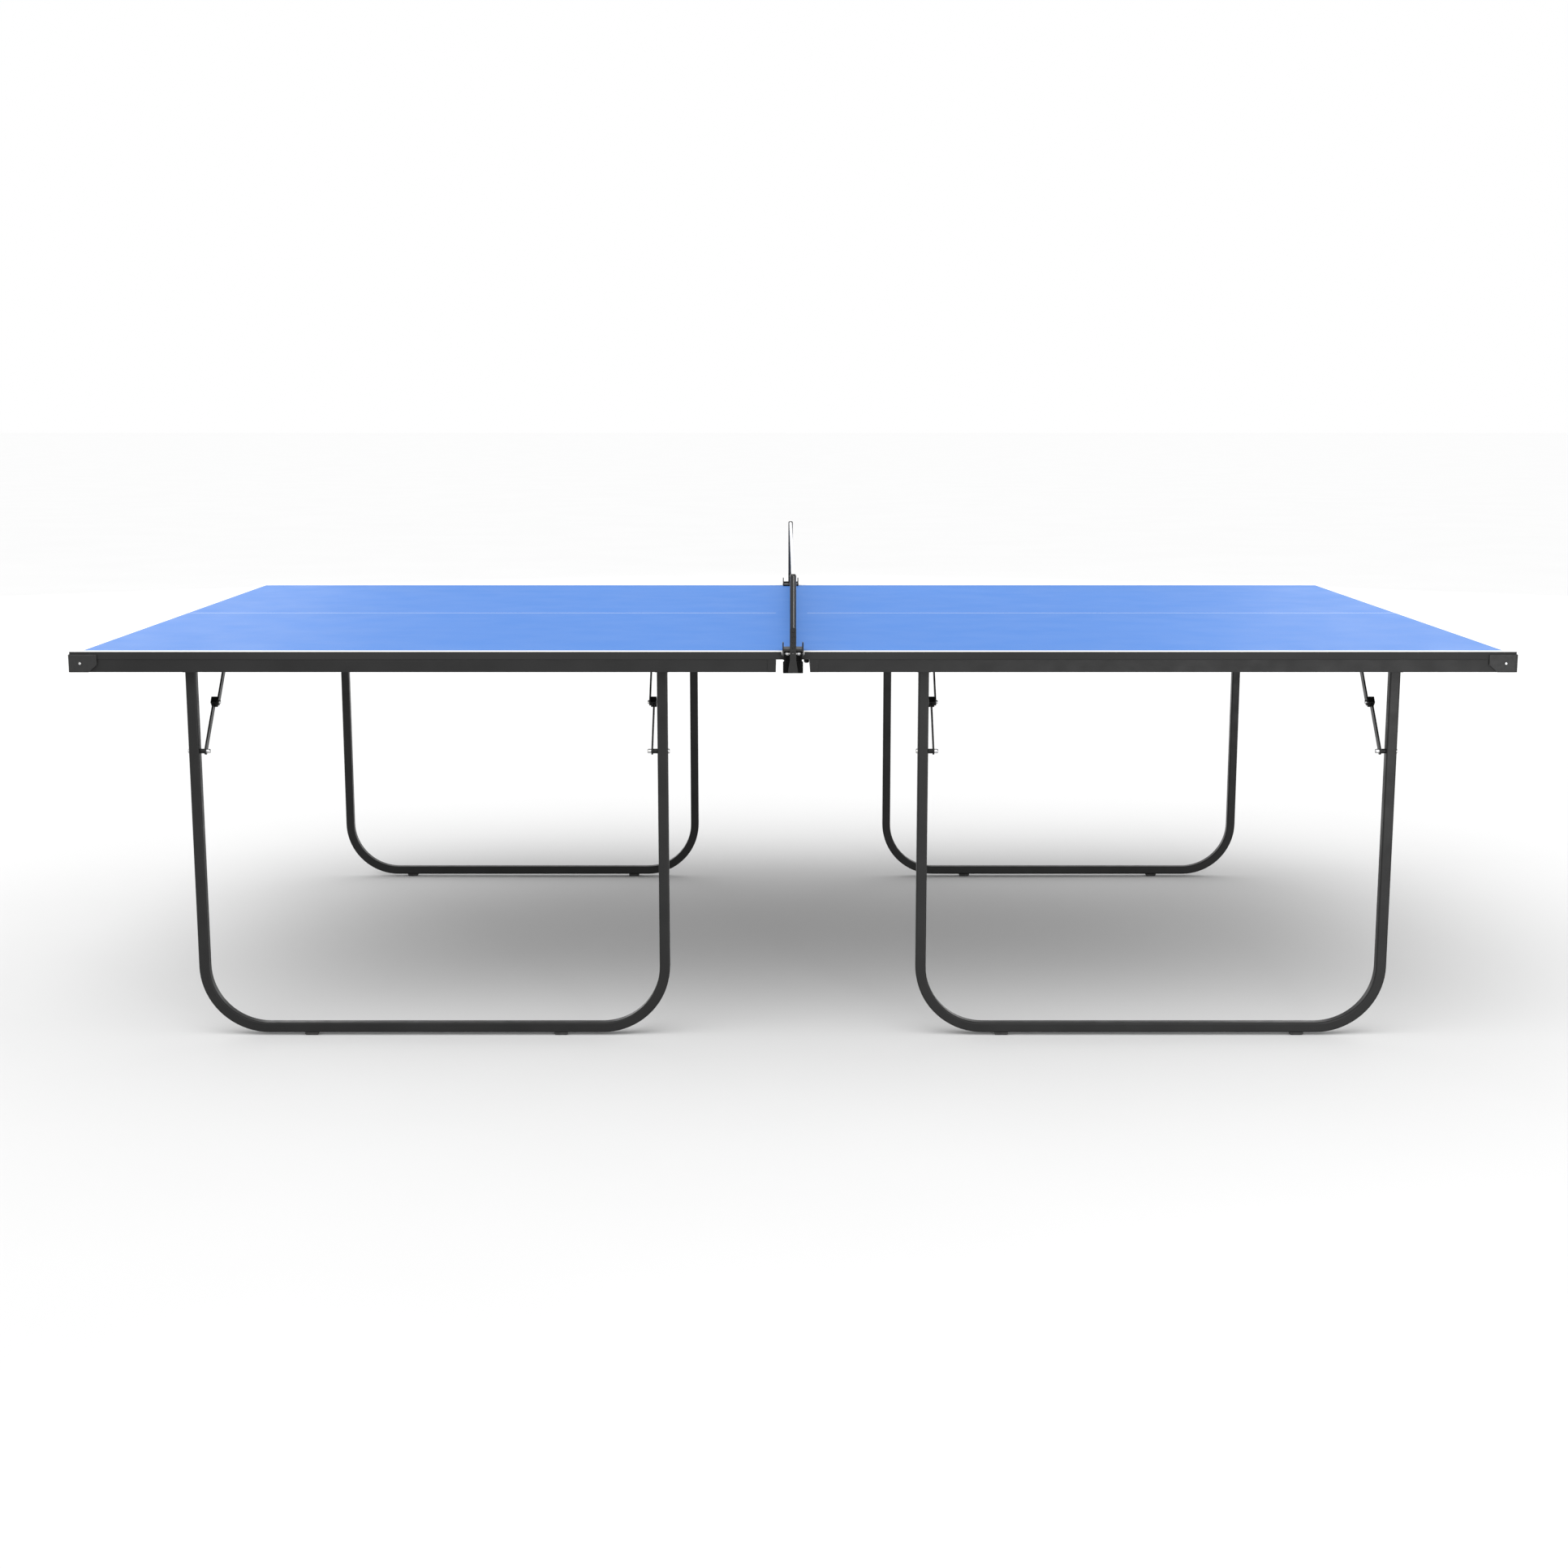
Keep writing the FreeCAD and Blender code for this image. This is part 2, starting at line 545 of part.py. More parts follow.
def link(x, side, inward, offset, start, end, holes):
    """Flat bar with rounded ends, beside the tube at one offset; start and end are along the brace."""
    lower, run, across = brace_axes(side)
    near = x + inward * (TUBE / 2 + offset)
    shift = Vector(near, 0, 0)
    width = across * (LINK_WIDTH / 2)
    step = Vector(inward * LINK_THICKNESS, 0, 0)
    points = [lower + run * start + width, lower + run * end + width,
              lower + run * end - width, lower + run * start - width]
    bar = prism([tuple(p + shift) for p in points], tuple(step))
    for place in (start, end):
        eye = lower + run * place + shift
        bar = bar.fuse(rod(LINK_WIDTH / 2, tuple(eye), tuple(eye + step)))
    bar = bar.removeSplitter()
    for place, radius in holes:
        eye = lower + run * place + shift
        bar = bar.cut(rod(radius, tuple(eye - step), tuple(eye + step * 2)))
    return bar


def lower_link(x, side, inward):
    """Link with a welded boss that keeps it off the leg."""
    bar = link(x, side, inward, LINK_STANDOFF, 0.0, LOWER_LINK, [(LOWER_LINK, BRACE_BOLT_RADIUS)])
    y = side * LEG_Y
    face = x + inward * (TUBE / 2 + CLEARANCE)
    back = x + inward * (TUBE / 2 + LINK_STANDOFF + LINK_THICKNESS)
    bar = bar.fuse(rod(BOSS_RADIUS, (face, y, BRACE_Z), (back, y, BRACE_Z)))
    bar = bar.cut(rod(LINK_HOLE, (face - inward * PAST, y, BRACE_Z), (back + inward * PAST, y, BRACE_Z)))
    return bar.removeSplitter()


def upper_link(x, side, inward):
    holes = [(LOWER_LINK, BRACE_BOLT_RADIUS + SLIP), (SPAN, LINK_HOLE)]
    return link(x, side, inward, UPPER_OFFSET, LOWER_LINK, SPAN, holes)


def knee_bolt(x, side, inward):
    """Dome-headed pin of the knee, carried by the upper link."""
    lower, run, _ = brace_axes(side)
    knee = lower + run * LOWER_LINK + Vector(x + inward * (TUBE / 2 + UPPER_OFFSET), 0, 0)
    out = Vector(inward, 0, 0)
    top = knee + out * LINK_THICKNESS
    shank = rod(BRACE_BOLT_RADIUS, tuple(knee), tuple(top))
    return shank.fuse(dome(KNEE_HEAD_RADIUS, KNEE_HEAD_HEIGHT, tuple(top), tuple(out))).removeSplitter()


def knee_lock(x, side, inward):
    """Sleeve that slides along the lower link and covers the knee."""
    lower, run, across = brace_axes(side)
    first = TUBE / 2 + LINK_STANDOFF - LOCK_WALL
    last = TUBE / 2 + UPPER_OFFSET - CLEARANCE
    base = Vector(x + inward * first, 0, 0)
    depth = Vector(inward * (last - first), 0, 0)
    near = LOWER_LINK + LOCK_PAST_KNEE - LOCK_LENGTH
    far = LOWER_LINK + LOCK_PAST_KNEE
    half = LOCK_WIDTH / 2
    outline = [lower + run * near + across * half, lower + run * far + across * half,
               lower + run * far - across * half, lower + run * near - across * half]
    sleeve = prism([tuple(p + base) for p in outline], tuple(depth))
    sleeve = along(sleeve, (1, 0, 0), LOCK_ROUND)
    slot_half = LINK_WIDTH / 2 + CLEARANCE
    slot_base = Vector(x + inward * (TUBE / 2 + LINK_STANDOFF - CLEARANCE), 0, 0)
    slot_depth = Vector(inward * (LINK_THICKNESS + 2 * CLEARANCE), 0, 0)
    slot_near = lower + run * (near - PAST)
    slot_far = lower + run * (far + PAST)
    slot = [slot_near + across * slot_half, slot_far + across * slot_half,
            slot_far - across * slot_half, slot_near - across * slot_half]
    return sleeve.cut(prism([tuple(p + slot_base) for p in slot], tuple(slot_depth)))


# ---------------------------------------------------------------- joining plates
def joining_fork(side):
    """Plate under the left board whose slot takes the right half's stud, open towards +X."""
    y = side * (SIDE - FORK_INSET)
    low = BOARD_BOTTOM - FORK_SHEET
    plate = block(-FORK_LENGTH / 2, -CLEARANCE, y - FORK_WIDTH / 2, y + FORK_WIDTH / 2, low, BOARD_BOTTOM)
    tongue = block(-CLEARANCE, FORK_LENGTH / 2, y - FORK_WIDTH / 2, y + FORK_WIDTH / 2,
                   low, BOARD_BOTTOM - CLEARANCE)
    plate = plate.fuse(tongue)
    slot_half = STUD_RADIUS + CLEARANCE
    under = low - PAST
    over = BOARD_BOTTOM + PAST
    plate = plate.cut(rod(slot_half, (STUD_X, y, under), (STUD_X, y, over)))
    plate = plate.cut(block(STUD_X, FORK_LENGTH, y - slot_half, y + slot_half, under, over))
    for hole in fork_holes(side):
        plate = plate.cut(rod(SCREW_RADIUS + SLIP, (*hole, under), (*hole, over)))
    return plate.removeSplitter()


def joining_stud(side):
    """Shouldered stud under the right board."""
    y = side * (SIDE - FORK_INSET)
    shoulder = BOARD_BOTTOM - FORK_SHEET - CLEARANCE
    thread = rod(SCREW_RADIUS, (STUD_X, y, BOARD_BOTTOM), (STUD_X, y, BOARD_BOTTOM + SCREW_BITE))
    neck = rod(STUD_RADIUS, (STUD_X, y, shoulder), (STUD_X, y, BOARD_BOTTOM))
    head = dome(STUD_HEAD_RADIUS, STUD_HEAD_HEIGHT, (STUD_X, y, shoulder), (0, 0, -1))
    return head.fuse([neck, thread]).removeSplitter()


# ---------------------------------------------------------------- net set
def out(side, distance):
    """Y of a point at a distance beyond the board's side."""
    return side * (SIDE + distance)


def upper_jaw(side):
    """Channel over the table's edge: base, two ears, a front lip and the post's back guide."""
    half = JAW_WIDTH / 2
    base_z = TOP_HEIGHT + JAW_PAD_HEIGHT
    crest = TOP_HEIGHT + JAW_EAR_TOP
    foot = TOP_HEIGHT - JAW_EAR_BOTTOM
    ear = [(-JAW_REACH, base_z), (-JAW_REACH, base_z + JAW_EAR_EDGE), (-JAW_EAR_CREST, crest),
           (JAW_EAR_SHOULDER, crest), (JAW_EAR_OUT, crest - JAW_EAR_SLOPE), (JAW_EAR_OUT, foot),
           (GUIDE_DEPTH, foot), (GUIDE_DEPTH, base_z)]
    shell = block(-half, half, out(side, -JAW_REACH), out(side, GUIDE_DEPTH), base_z,
                  base_z + JAW_BASE_HEIGHT)
    for sign in (-1, 1):
        outline = [(sign * half, out(side, w), z) for w, z in ear]
        shell = shell.fuse(prism(outline, (-sign * JAW_SHEET, 0, 0)))
    lip_z = TOP_HEIGHT + LIP_LIFT
    lip_out = POST_OUT + POST_RADIUS + CLEARANCE
    shell = shell.fuse(block(-half + JAW_SHEET, half - JAW_SHEET, out(side, GUIDE_DEPTH),
                             out(side, lip_out), lip_z, lip_z + LIP_HEIGHT))
    shell = shell.fuse(block(-GUIDE_WIDTH / 2, GUIDE_WIDTH / 2, out(side, GUIDE_DEPTH),
                             out(side, POST_OUT - POST_RADIUS - CLEARANCE),
                             lip_z, lip_z + LIP_HEIGHT + GUIDE_HEIGHT))
    pin_y = out(side, PIN_OUT)
    pin_z = TOP_HEIGHT - PIN_DROP
    shell = shell.cut(rod(PIN_RADIUS + SLIP, (-half - PAST, pin_y, pin_z), (half + PAST, pin_y, pin_z)))
    return shell.removeSplitter()


def upper_pad(side):
    """Rubber pad of the upper jaw; it clears the right board, which slides away under it."""
    half = JAW_WIDTH / 2 - JAW_PAD_MARGIN
    inner = out(side, -JAW_REACH + JAW_PAD_MARGIN)
    outer = out(side, -2 * JAW_PAD_MARGIN)
    top = TOP_HEIGHT + JAW_PAD_HEIGHT
    left = block(-half, -HALF_GAP, inner, outer, TOP_HEIGHT, top)
    right = block(-HALF_GAP, half, inner, outer, TOP_HEIGHT + CLEARANCE, top)
    return left.fuse(right).removeSplitter()


def jaw_pin(side):
    """Hinge pin of the clip, with a head at each end."""
    half = JAW_WIDTH / 2
    y = out(side, PIN_OUT)
    z = TOP_HEIGHT - PIN_DROP
    pin = rod(PIN_RADIUS, (-half, y, z), (half, y, z))
    heads = [dome(PIN_HEAD_RADIUS, PIN_HEAD_HEIGHT, (s * half, y, z), (s, 0, 0)) for s in (-1, 1)]
    return pin.fuse(heads).removeSplitter()


def jaw_springs(side):
    """Two torsion springs on the pin, as plain sleeves of the coils' size."""
    y = out(side, PIN_OUT)
    z = TOP_HEIGHT - PIN_DROP
    springs = []
    for sign in (-1, 1):
        start = sign * SPRING_OFFSET - SPRING_LENGTH / 2
        end = start + SPRING_LENGTH
        coil = rod(SPRING_RADIUS, (start, y, z), (end, y, z))
        springs.append(coil.cut(rod(PIN_RADIUS, (start, y, z), (end, y, z))))
    return springs


def thumb_plate(side):
    """Flat plate in front of the post, with its square notches and flared thumb tab."""
    front = out(side, POST_OUT + POST_RADIUS + CLEARANCE)
    half = PLATE_WIDTH / 2
    top = TOP_HEIGHT + PLATE_TOP
    neck = TOP_HEIGHT - PLATE_NECK
    foot = TOP_HEIGHT - TAB_BOTTOM
    outline = [(-half, front, top), (half, front, top), (half, front, neck),
               (TAB_WIDTH / 2, front, foot), (-TAB_WIDTH / 2, front, foot), (-half, front, neck)]
    plate = prism(outline, (0, side * PLATE_SHEET, 0))
    corners = [e for e in plate.Edges if abs(e.CenterOfMass.z - foot) < SAME
               and abs(e.CenterOfMass.x) > half]
    plate = plate.makeFillet(TAB_ROUND, corners)
    for index in range(NOTCH_COUNT):
        z = top - NOTCH_FIRST - index * NOTCH_PITCH
        plate = plate.cut(block(-NOTCH / 2, NOTCH / 2, front - side * PAST,
                                front + side * (PLATE_SHEET + PAST), z - NOTCH / 2, z + NOTCH / 2))
    return plate


def lower_jaw(side):
    """Sprung jaw: a shell in front of the edge, ears up to the pin, and an arm under the board."""
    near = CLEARANCE * 4
    far = near + LOWER_JAW_DEPTH
    half = LOWER_JAW_WIDTH / 2
    neck = LOWER_NECK_WIDTH / 2
    pin_y = out(side, PIN_OUT)
    pin_z = TOP_HEIGHT - PIN_DROP
    jaw_top = TOP_HEIGHT - LOWER_JAW_TOP
    lap_z = jaw_top - LOWER_LAP
    shell = block(-half, half, out(side, near), out(side, far), TOP_HEIGHT - LOWER_JAW_BOTTOM, jaw_top)
    shell = along(shell, (0, 1, 0), LOWER_JAW_ROUND)
    shell = shell.fuse(block(-neck, neck, out(side, near), out(side, far - LOWER_JAW_ROUND),
                             lap_z, TOP_HEIGHT - LOWER_NECK_TOP))
    arm = neck - JAW_SHEET
    arm_top = BOARD_BOTTOM - LOWER_PAD_HEIGHT - CLEARANCE
    shell = shell.fuse(block(-arm, arm, out(side, far - LOWER_JAW_ROUND), out(side, -LOWER_ARM_REACH),
                             arm_top - LOWER_ARM_SHEET, arm_top))
    for sign in (-1, 1):
        ear = block(sign * arm, sign * neck, out(side, near), out(side, PIN_OUT + LOWER_EAR_ROUND_PIN),
                    lap_z, pin_z + LOWER_EAR_ROUND_PIN)
        shell = shell.fuse(ear)
    shell = shell.cut(rod(PIN_RADIUS + CLEARANCE, (-half, pin_y, pin_z), (half, pin_y, pin_z)))
    return shell.removeSplitter()


def lower_pad(side):
    half = LOWER_NECK_WIDTH / 2 - JAW_SHEET - JAW_PAD_MARGIN
    top = BOARD_BOTTOM - CLEARANCE
    end = -LOWER_ARM_REACH + JAW_PAD_MARGIN
    return block(-half, half, out(side, end), out(side, end + LOWER_PAD_LENGTH),
                 top - LOWER_PAD_HEIGHT, top)


def net_post(side):
    """Round post with a domed top, held in the clip and free to rise in it."""
    foot = TOP_HEIGHT + LIP_LIFT + LIP_HEIGHT + CLEARANCE
    top = TOP_HEIGHT + POST_TOP + side * NET_TILT
    return dome(POST_RADIUS, top - foot, (0, out(side, POST_OUT), foot), (0, 0, 1))


def tape_line(y, drop):
    """Height of the net's upper edge at one place across the table, less a drop."""
    return TOP_HEIGHT + NET_HEIGHT + NET_TILT * y / (SIDE + POST_OUT) - drop


def net_panel():
    """Netting as one thin closed panel between the posts, hanging under its tape."""
    end = SIDE + NET_PAST_SIDE
    low = TOP_HEIGHT + JAW_PAD_HEIGHT + JAW_BASE_HEIGHT + NET_LIFT
    x = -NET_THICKNESS / 2
    outline = [(x, -end, low), (x, end, low), (x, end, tape_line(end, TAPE_HEIGHT)),
               (x, -end, tape_line(-end, TAPE_HEIGHT))]
    return prism(outline, (NET_THICKNESS, 0, 0))


def net_tape():
    """Folded white tape along the top of the net, from post to post."""
    end = SIDE + POST_OUT - POST_RADIUS
    x = -TAPE_THICKNESS / 2
    outline = [(x, -end, tape_line(-end, TAPE_HEIGHT)), (x, end, tape_line(end, TAPE_HEIGHT)),
               (x, end, tape_line(end, 0)), (x, -end, tape_line(-end, 0))]
    tape = prism(outline, (TAPE_THICKNESS, 0, 0))
    ridge = [e for e in tape.Edges if all(abs(v.Z - tape_line(v.Y, 0)) < SAME for v in e.Vertexes)
             and abs(e.CenterOfMass.x) > SAME]
    return tape.makeFillet(TAPE_ROUND, ridge)


# ---------------------------------------------------------------- assembly
for half_name, hand in HALVES.items():
    keep(f"{half_name}_board", board(hand))
    keep(f"{half_name}_side_rails", *[side_rail(hand, s) for s in SIDES.values()])
    keep(f"{half_name}_end_rail", end_rail(hand))
    keep(f"{half_name}_centre_rail", centre_rail(hand))
    keep(f"{half_name}_corner_protectors", *[corner_protector(hand, s) for s in SIDES.values()])
    legs = legs_of(hand)
    keep(f"{half_name}_leg_brackets", *[leg_bracket(x, s) for x, s, _ in legs])
    keep(f"{half_name}_brace_brackets", *[brace_bracket(*leg) for leg in legs])
    pivots = [hinge_bolt(x, s) for x, s, _ in legs] + [brace_top_bolt(*leg) for leg in legs]
    keep(f"{half_name}_pivot_bolts", *pivots)
    flange_z = BOARD_BOTTOM - BRACKET_SHEET
    screws = [corner_screw(*screw) for s in SIDES.values() for screw in corner_screws(hand, s)]
    for x, s, inward in legs:
        for hole in bracket_holes(x, s) + brace_bracket_holes(x, s, inward):
            screws.append(board_screw(*hole, flange_z))
    if hand < 0:
        for s in SIDES.values():
            screws += [board_screw(*hole, BOARD_BOTTOM - FORK_SHEET) for hole in fork_holes(s)]
    keep(f"{half_name}_screws", *screws)

    for side_name, side in SIDES.items():
        prefix = f"{side_name}_{half_name}"
        tubes = tubes_of_leg(hand, side)
        keep(f"{prefix}_leg_frame", leg_frame(hand, side))
        keep(f"{prefix}_foot_pads", *foot_pads(hand, side))
        keep(f"{prefix}_brace_bolts", *[brace_bolt(x, side, inward) for x, inward in tubes])
        keep(f"{prefix}_lower_links", *[lower_link(x, side, inward) for x, inward in tubes])
        keep(f"{prefix}_knee_locks", *[knee_lock(x, side, inward) for x, inward in tubes])
        keep(f"{prefix}_upper_links", *[upper_link(x, side, inward) for x, inward in tubes])
        keep(f"{prefix}_knee_bolts", *[knee_bolt(x, side, inward) for x, inward in tubes])

keep("left_joining_forks", *[joining_fork(s) for s in SIDES.values()])
keep("right_joining_studs", *[joining_stud(s) for s in SIDES.values()])
keep("clip_upper_jaws", *[upper_jaw(s) for s in SIDES.values()])
keep("clip_upper_pads", *[upper_pad(s) for s in SIDES.values()])
keep("clip_pins", *[jaw_pin(s) for s in SIDES.values()])
keep("clip_springs", *[coil for s in SIDES.values() for coil in jaw_springs(s)])
keep("clip_thumb_plates", *[thumb_plate(s) for s in SIDES.values()])
for side_name, side in SIDES.items():
    keep(f"{side_name}_lower_jaw", lower_jaw(side))
    keep(f"{side_name}_lower_pad", lower_pad(side))
keep("net_posts", *[net_post(s) for s in SIDES.values()])
keep("net_panel", net_panel())
keep("net_tape", net_tape())

os.makedirs("parts", exist_ok=True)
for name, shape in nodes.items():
    shape.exportStep(f"parts/{name}.step")
    print(f"{name:28s} {len(shape.Solids):2d} solids, {shape.Volume:9.0f} mm3, valid {shape.isValid()}")
print(f"{len(nodes)} nodes; brace {BRACE_ANGLE:.2f} deg, links {LOWER_LINK:.2f} and {UPPER_LINK:.2f} mm,"
      f" hinge height {HINGE_Z:.1f} mm")
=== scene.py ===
import bpy
import bmesh
import math
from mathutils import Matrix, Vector


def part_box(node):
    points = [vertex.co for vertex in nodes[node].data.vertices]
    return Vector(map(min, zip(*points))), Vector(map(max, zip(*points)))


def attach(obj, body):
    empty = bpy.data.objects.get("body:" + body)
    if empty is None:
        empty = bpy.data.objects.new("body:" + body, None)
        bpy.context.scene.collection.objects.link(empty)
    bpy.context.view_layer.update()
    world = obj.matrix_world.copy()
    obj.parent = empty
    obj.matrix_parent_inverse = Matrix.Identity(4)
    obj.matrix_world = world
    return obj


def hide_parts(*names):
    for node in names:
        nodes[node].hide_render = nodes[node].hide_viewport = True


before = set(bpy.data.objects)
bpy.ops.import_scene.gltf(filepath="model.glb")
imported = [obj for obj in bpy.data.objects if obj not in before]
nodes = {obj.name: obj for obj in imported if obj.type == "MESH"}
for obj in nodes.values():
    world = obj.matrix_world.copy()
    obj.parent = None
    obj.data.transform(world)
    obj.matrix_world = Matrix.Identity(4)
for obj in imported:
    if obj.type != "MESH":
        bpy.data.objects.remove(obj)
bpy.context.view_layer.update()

# ------------------------------------------------------------------ camera
# A 50 mm lens square to the long side of the table, a little left of the net and
# 1.2 m above the floor, tilted down by ten degrees.
LENS = 49.94
SENSOR_WIDTH = 36
LEFT_OF_NET = 0.017
CAMERA_DISTANCE = 4.0965
CAMERA_HEIGHT = 1.2282
CAMERA_TILT = 10.0
near_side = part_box("left_board")[0][1]
camera = bpy.data.objects.new("camera", bpy.data.cameras.new("camera"))
camera.data.lens = LENS
camera.data.sensor_width = SENSOR_WIDTH
camera.location = (-LEFT_OF_NET, near_side - CAMERA_DISTANCE, CAMERA_HEIGHT)
camera.rotation_euler = (math.radians(90 - CAMERA_TILT), 0, 0)
bpy.context.collection.objects.link(camera)
bpy.context.scene.camera = camera


# ------------------------------------------------------------------ boards
# Each half's top is a 15 mm composite board with eased edges, in rolled satin blue with
# a 20 mm white line round three sides and a thin one down the middle for doubles.  Its
# edges and underside are black.
HALVES = {"left": -1, "right": 1}


def new_material(name):
    """Empty node material with one Principled shader."""
    material = bpy.data.materials.new(name)
    material.use_nodes = True
    tree = material.node_tree
    return material, tree, tree.nodes["Principled BSDF"]


def add_node(tree, kind, settings=None, **inputs):
    """One node with its plain properties and input values set."""
    node = tree.nodes.new(kind)
    for name, value in (settings or {}).items():
        setattr(node, name, value)
    for name, value in inputs.items():
        node.inputs[name.replace("_", " ")].default_value = value
    return node


def grain(tree, scale, detail=3.0, stretch=(1, 1, 1)):
    """Noise over the object's own coordinates, in turns per metre."""
    place = add_node(tree, "ShaderNodeTexCoord")
    turn = add_node(tree, "ShaderNodeMapping")
    turn.inputs["Scale"].default_value = stretch
    noise = add_node(tree, "ShaderNodeTexNoise", Scale=scale, Detail=detail)
    tree.links.new(place.outputs["Object"], turn.inputs["Vector"])
    tree.links.new(turn.outputs["Vector"], noise.inputs["Vector"])
    return noise.outputs["Fac"]


def spread(tree, value, low, high, to_low, to_high):
    """Remap one number range to another."""
    node = add_node(tree, "ShaderNodeMapRange")
    for index, number in enumerate((low, high, to_low, to_high), start=1):
        node.inputs[index].default_value = number
    tree.links.new(value, node.inputs[0])
    return node.outputs[0]


def tint(tree, value, dark, light):
    """Colour that runs from dark to light with a number."""
    ramp = add_node(tree, "ShaderNodeValToRGB")
    ramp.color_ramp.elements[0].position = 0.3
    ramp.color_ramp.elements[1].position = 0.7
    ramp.color_ramp.elements[0].color = (*dark, 1)
    ramp.color_ramp.elements[1].color = (*light, 1)
    tree.links.new(value, ramp.inputs["Fac"])
    return ramp.outputs["Color"]


def edge_rounding_and_mask(tree, radius, noise_scale):
    """Rounded normal near sharp edges, and a broken-up mask along them; where black finishes turn paler
    there, that is partly wear and partly a painted edge highlight.
    """
    rounded = add_node(tree, "ShaderNodeBevel", Radius=radius)
    flat = add_node(tree, "ShaderNodeNewGeometry")
    turn = add_node(tree, "ShaderNodeVectorMath", {"operation": "DOT_PRODUCT"})
    tree.links.new(rounded.outputs["Normal"], turn.inputs[0])
    tree.links.new(flat.outputs["Normal"], turn.inputs[1])
    patches = spread(tree, grain(tree, noise_scale, 5), 0.42, 0.62, 0.15, 1.0)
    edge_mask = add_node(tree, "ShaderNodeMath", {"operation": "MULTIPLY"})
    tree.links.new(spread(tree, turn.outputs["Value"], 0.99, 0.80, 0.0, 1.0), edge_mask.inputs[0])
    tree.links.new(patches, edge_mask.inputs[1])
    return rounded.outputs["Normal"], edge_mask.outputs[0]


def edge_toned_colour(tree, colour, mask, edge_tone):
    """Base colour that goes over to a second colour where the mask says so."""
    blend = add_node(tree, "ShaderNodeMix", {"data_type": "RGBA"})
    socket = [item for item in blend.inputs if item.type == "RGBA"]
    socket[1].default_value = (*edge_tone, 1)
    tree.links.new(mask, blend.inputs[0])
    tree.links.new(colour, socket[0])
    return [item for item in blend.outputs if item.type == "RGBA"][0]


def raise_surface(tree, shader, value, height, strength=1.0, normal=None):
    """Bump of a real height in metres."""
    bump = add_node(tree, "ShaderNodeBump", Strength=strength, Distance=height)
    if normal:
        tree.links.new(normal, bump.inputs["Normal"])
    tree.links.new(value, bump.inputs["Height"])
    tree.links.new(bump.outputs["Normal"], shader.inputs["Normal"])


def rolled_paint(name, dark, light, roughness, texture_height):
    """Roller-applied table paint: fine orange peel, faint cloudiness and roughness drift."""
    material, tree, shader = new_material(name)
    cloud = grain(tree, 2.2, 4)
    tree.links.new(tint(tree, cloud, dark, light), shader.inputs["Base Color"])
    tree.links.new(spread(tree, grain(tree, 9, 5), 0.3, 0.7, roughness - 0.03, roughness + 0.04),
                   shader.inputs["Roughness"])
    raise_surface(tree, shader, grain(tree, 900, 2), texture_height, 0.35)
    shader.inputs["Specular IOR Level"].default_value = 0.05
    return material


blue_paint = rolled_paint("blue_table_paint", (0.062, 0.201, 0.572), (0.068, 0.211, 0.592), 0.5, 0.00006)
line_paint = rolled_paint("white_line_paint", (0.86, 0.86, 0.85), (0.90, 0.90, 0.89), 0.42, 0.00005)
edge_paint = rolled_paint("black_edge_band", (0.025, 0.025, 0.025), (0.031, 0.031, 0.031), 0.5, 0.00004)

SIDE_LINE = 0.020
MIDDLE_LINE = 0.003
MIDDLE_LINE_STOP = 0.035
EASED_EDGE = 0.0008
FACING_UP = 0.9
BELOW_TOP = 0.0005
LINE_SLOT = 1
EDGE_SLOT = 2


def link_object(name, mesh, *materials):
    """New object at the origin that shows a mesh."""
    piece = bpy.data.objects.new(name, mesh)
    for material in materials:
        mesh.materials.append(material)
    bpy.context.collection.objects.link(piece)
    return piece


def box_mesh(name, low, high, cuts_x=(), cuts_y=()):
    """Box whose top is cut along given X and Y lines, as one closed mesh."""
    shape = bmesh.new()
    bmesh.ops.create_cube(shape, size=1)
    middle = (Vector(low) + Vector(high)) / 2
    size = Vector(high) - Vector(low)
    for vertex in shape.verts:
        vertex.co = middle + Vector(a * b for a, b in zip(vertex.co, size))
    for axis, places in ((Vector((1, 0, 0)), cuts_x), (Vector((0, 1, 0)), cuts_y)):
        for place in places:
            bmesh.ops.bisect_plane(shape, geom=shape.verts[:] + shape.edges[:] + shape.faces[:],
                                   plane_co=axis * place, plane_no=axis)
    mesh = bpy.data.meshes.new(name)
    shape.to_mesh(mesh)
    shape.free()
    return mesh


def eased(piece, width, segments=2):
    """Bevel on sharp edges, applied, with smooth shading kept flat on the large faces."""
    bevel = piece.modifiers.new("eased", "BEVEL")
    bevel.width = width
    bevel.segments = segments
    bevel.limit_method = "ANGLE"
    bevel.harden_normals = True
    graph = bpy.context.evaluated_depsgraph_get()
    mesh = bpy.data.meshes.new_from_object(piece.evaluated_get(graph))
    piece.modifiers.remove(bevel)
    piece.data = mesh


for half, hand in HALVES.items():
    low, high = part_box(f"{half}_board")
    outer = low[0] if hand < 0 else high[0]
    inner_line = hand * MIDDLE_LINE_STOP
    mesh = box_mesh(f"{half}_top", low, high,
                    cuts_x=(outer - hand * SIDE_LINE, inner_line),
                    cuts_y=(low[1] + SIDE_LINE, high[1] - SIDE_LINE, -MIDDLE_LINE / 2, MIDDLE_LINE / 2))
    top = link_object(f"{half}_playing_top", mesh, blue_paint, line_paint, edge_paint)
    eased(top, EASED_EDGE)
    for face in top.data.polygons:
        x, y, z = face.center
        if face.normal.z < FACING_UP or z < high[2] - BELOW_TOP:
            face.material_index = EDGE_SLOT
        elif abs(y) > high[1] - SIDE_LINE or abs(x - outer) < SIDE_LINE:
            face.material_index = LINE_SLOT
        elif abs(y) < MIDDLE_LINE / 2 and abs(x) > MIDDLE_LINE_STOP:
            face.material_index = LINE_SLOT
    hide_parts(f"{half}_board")
    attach(top, f"{half}_half")


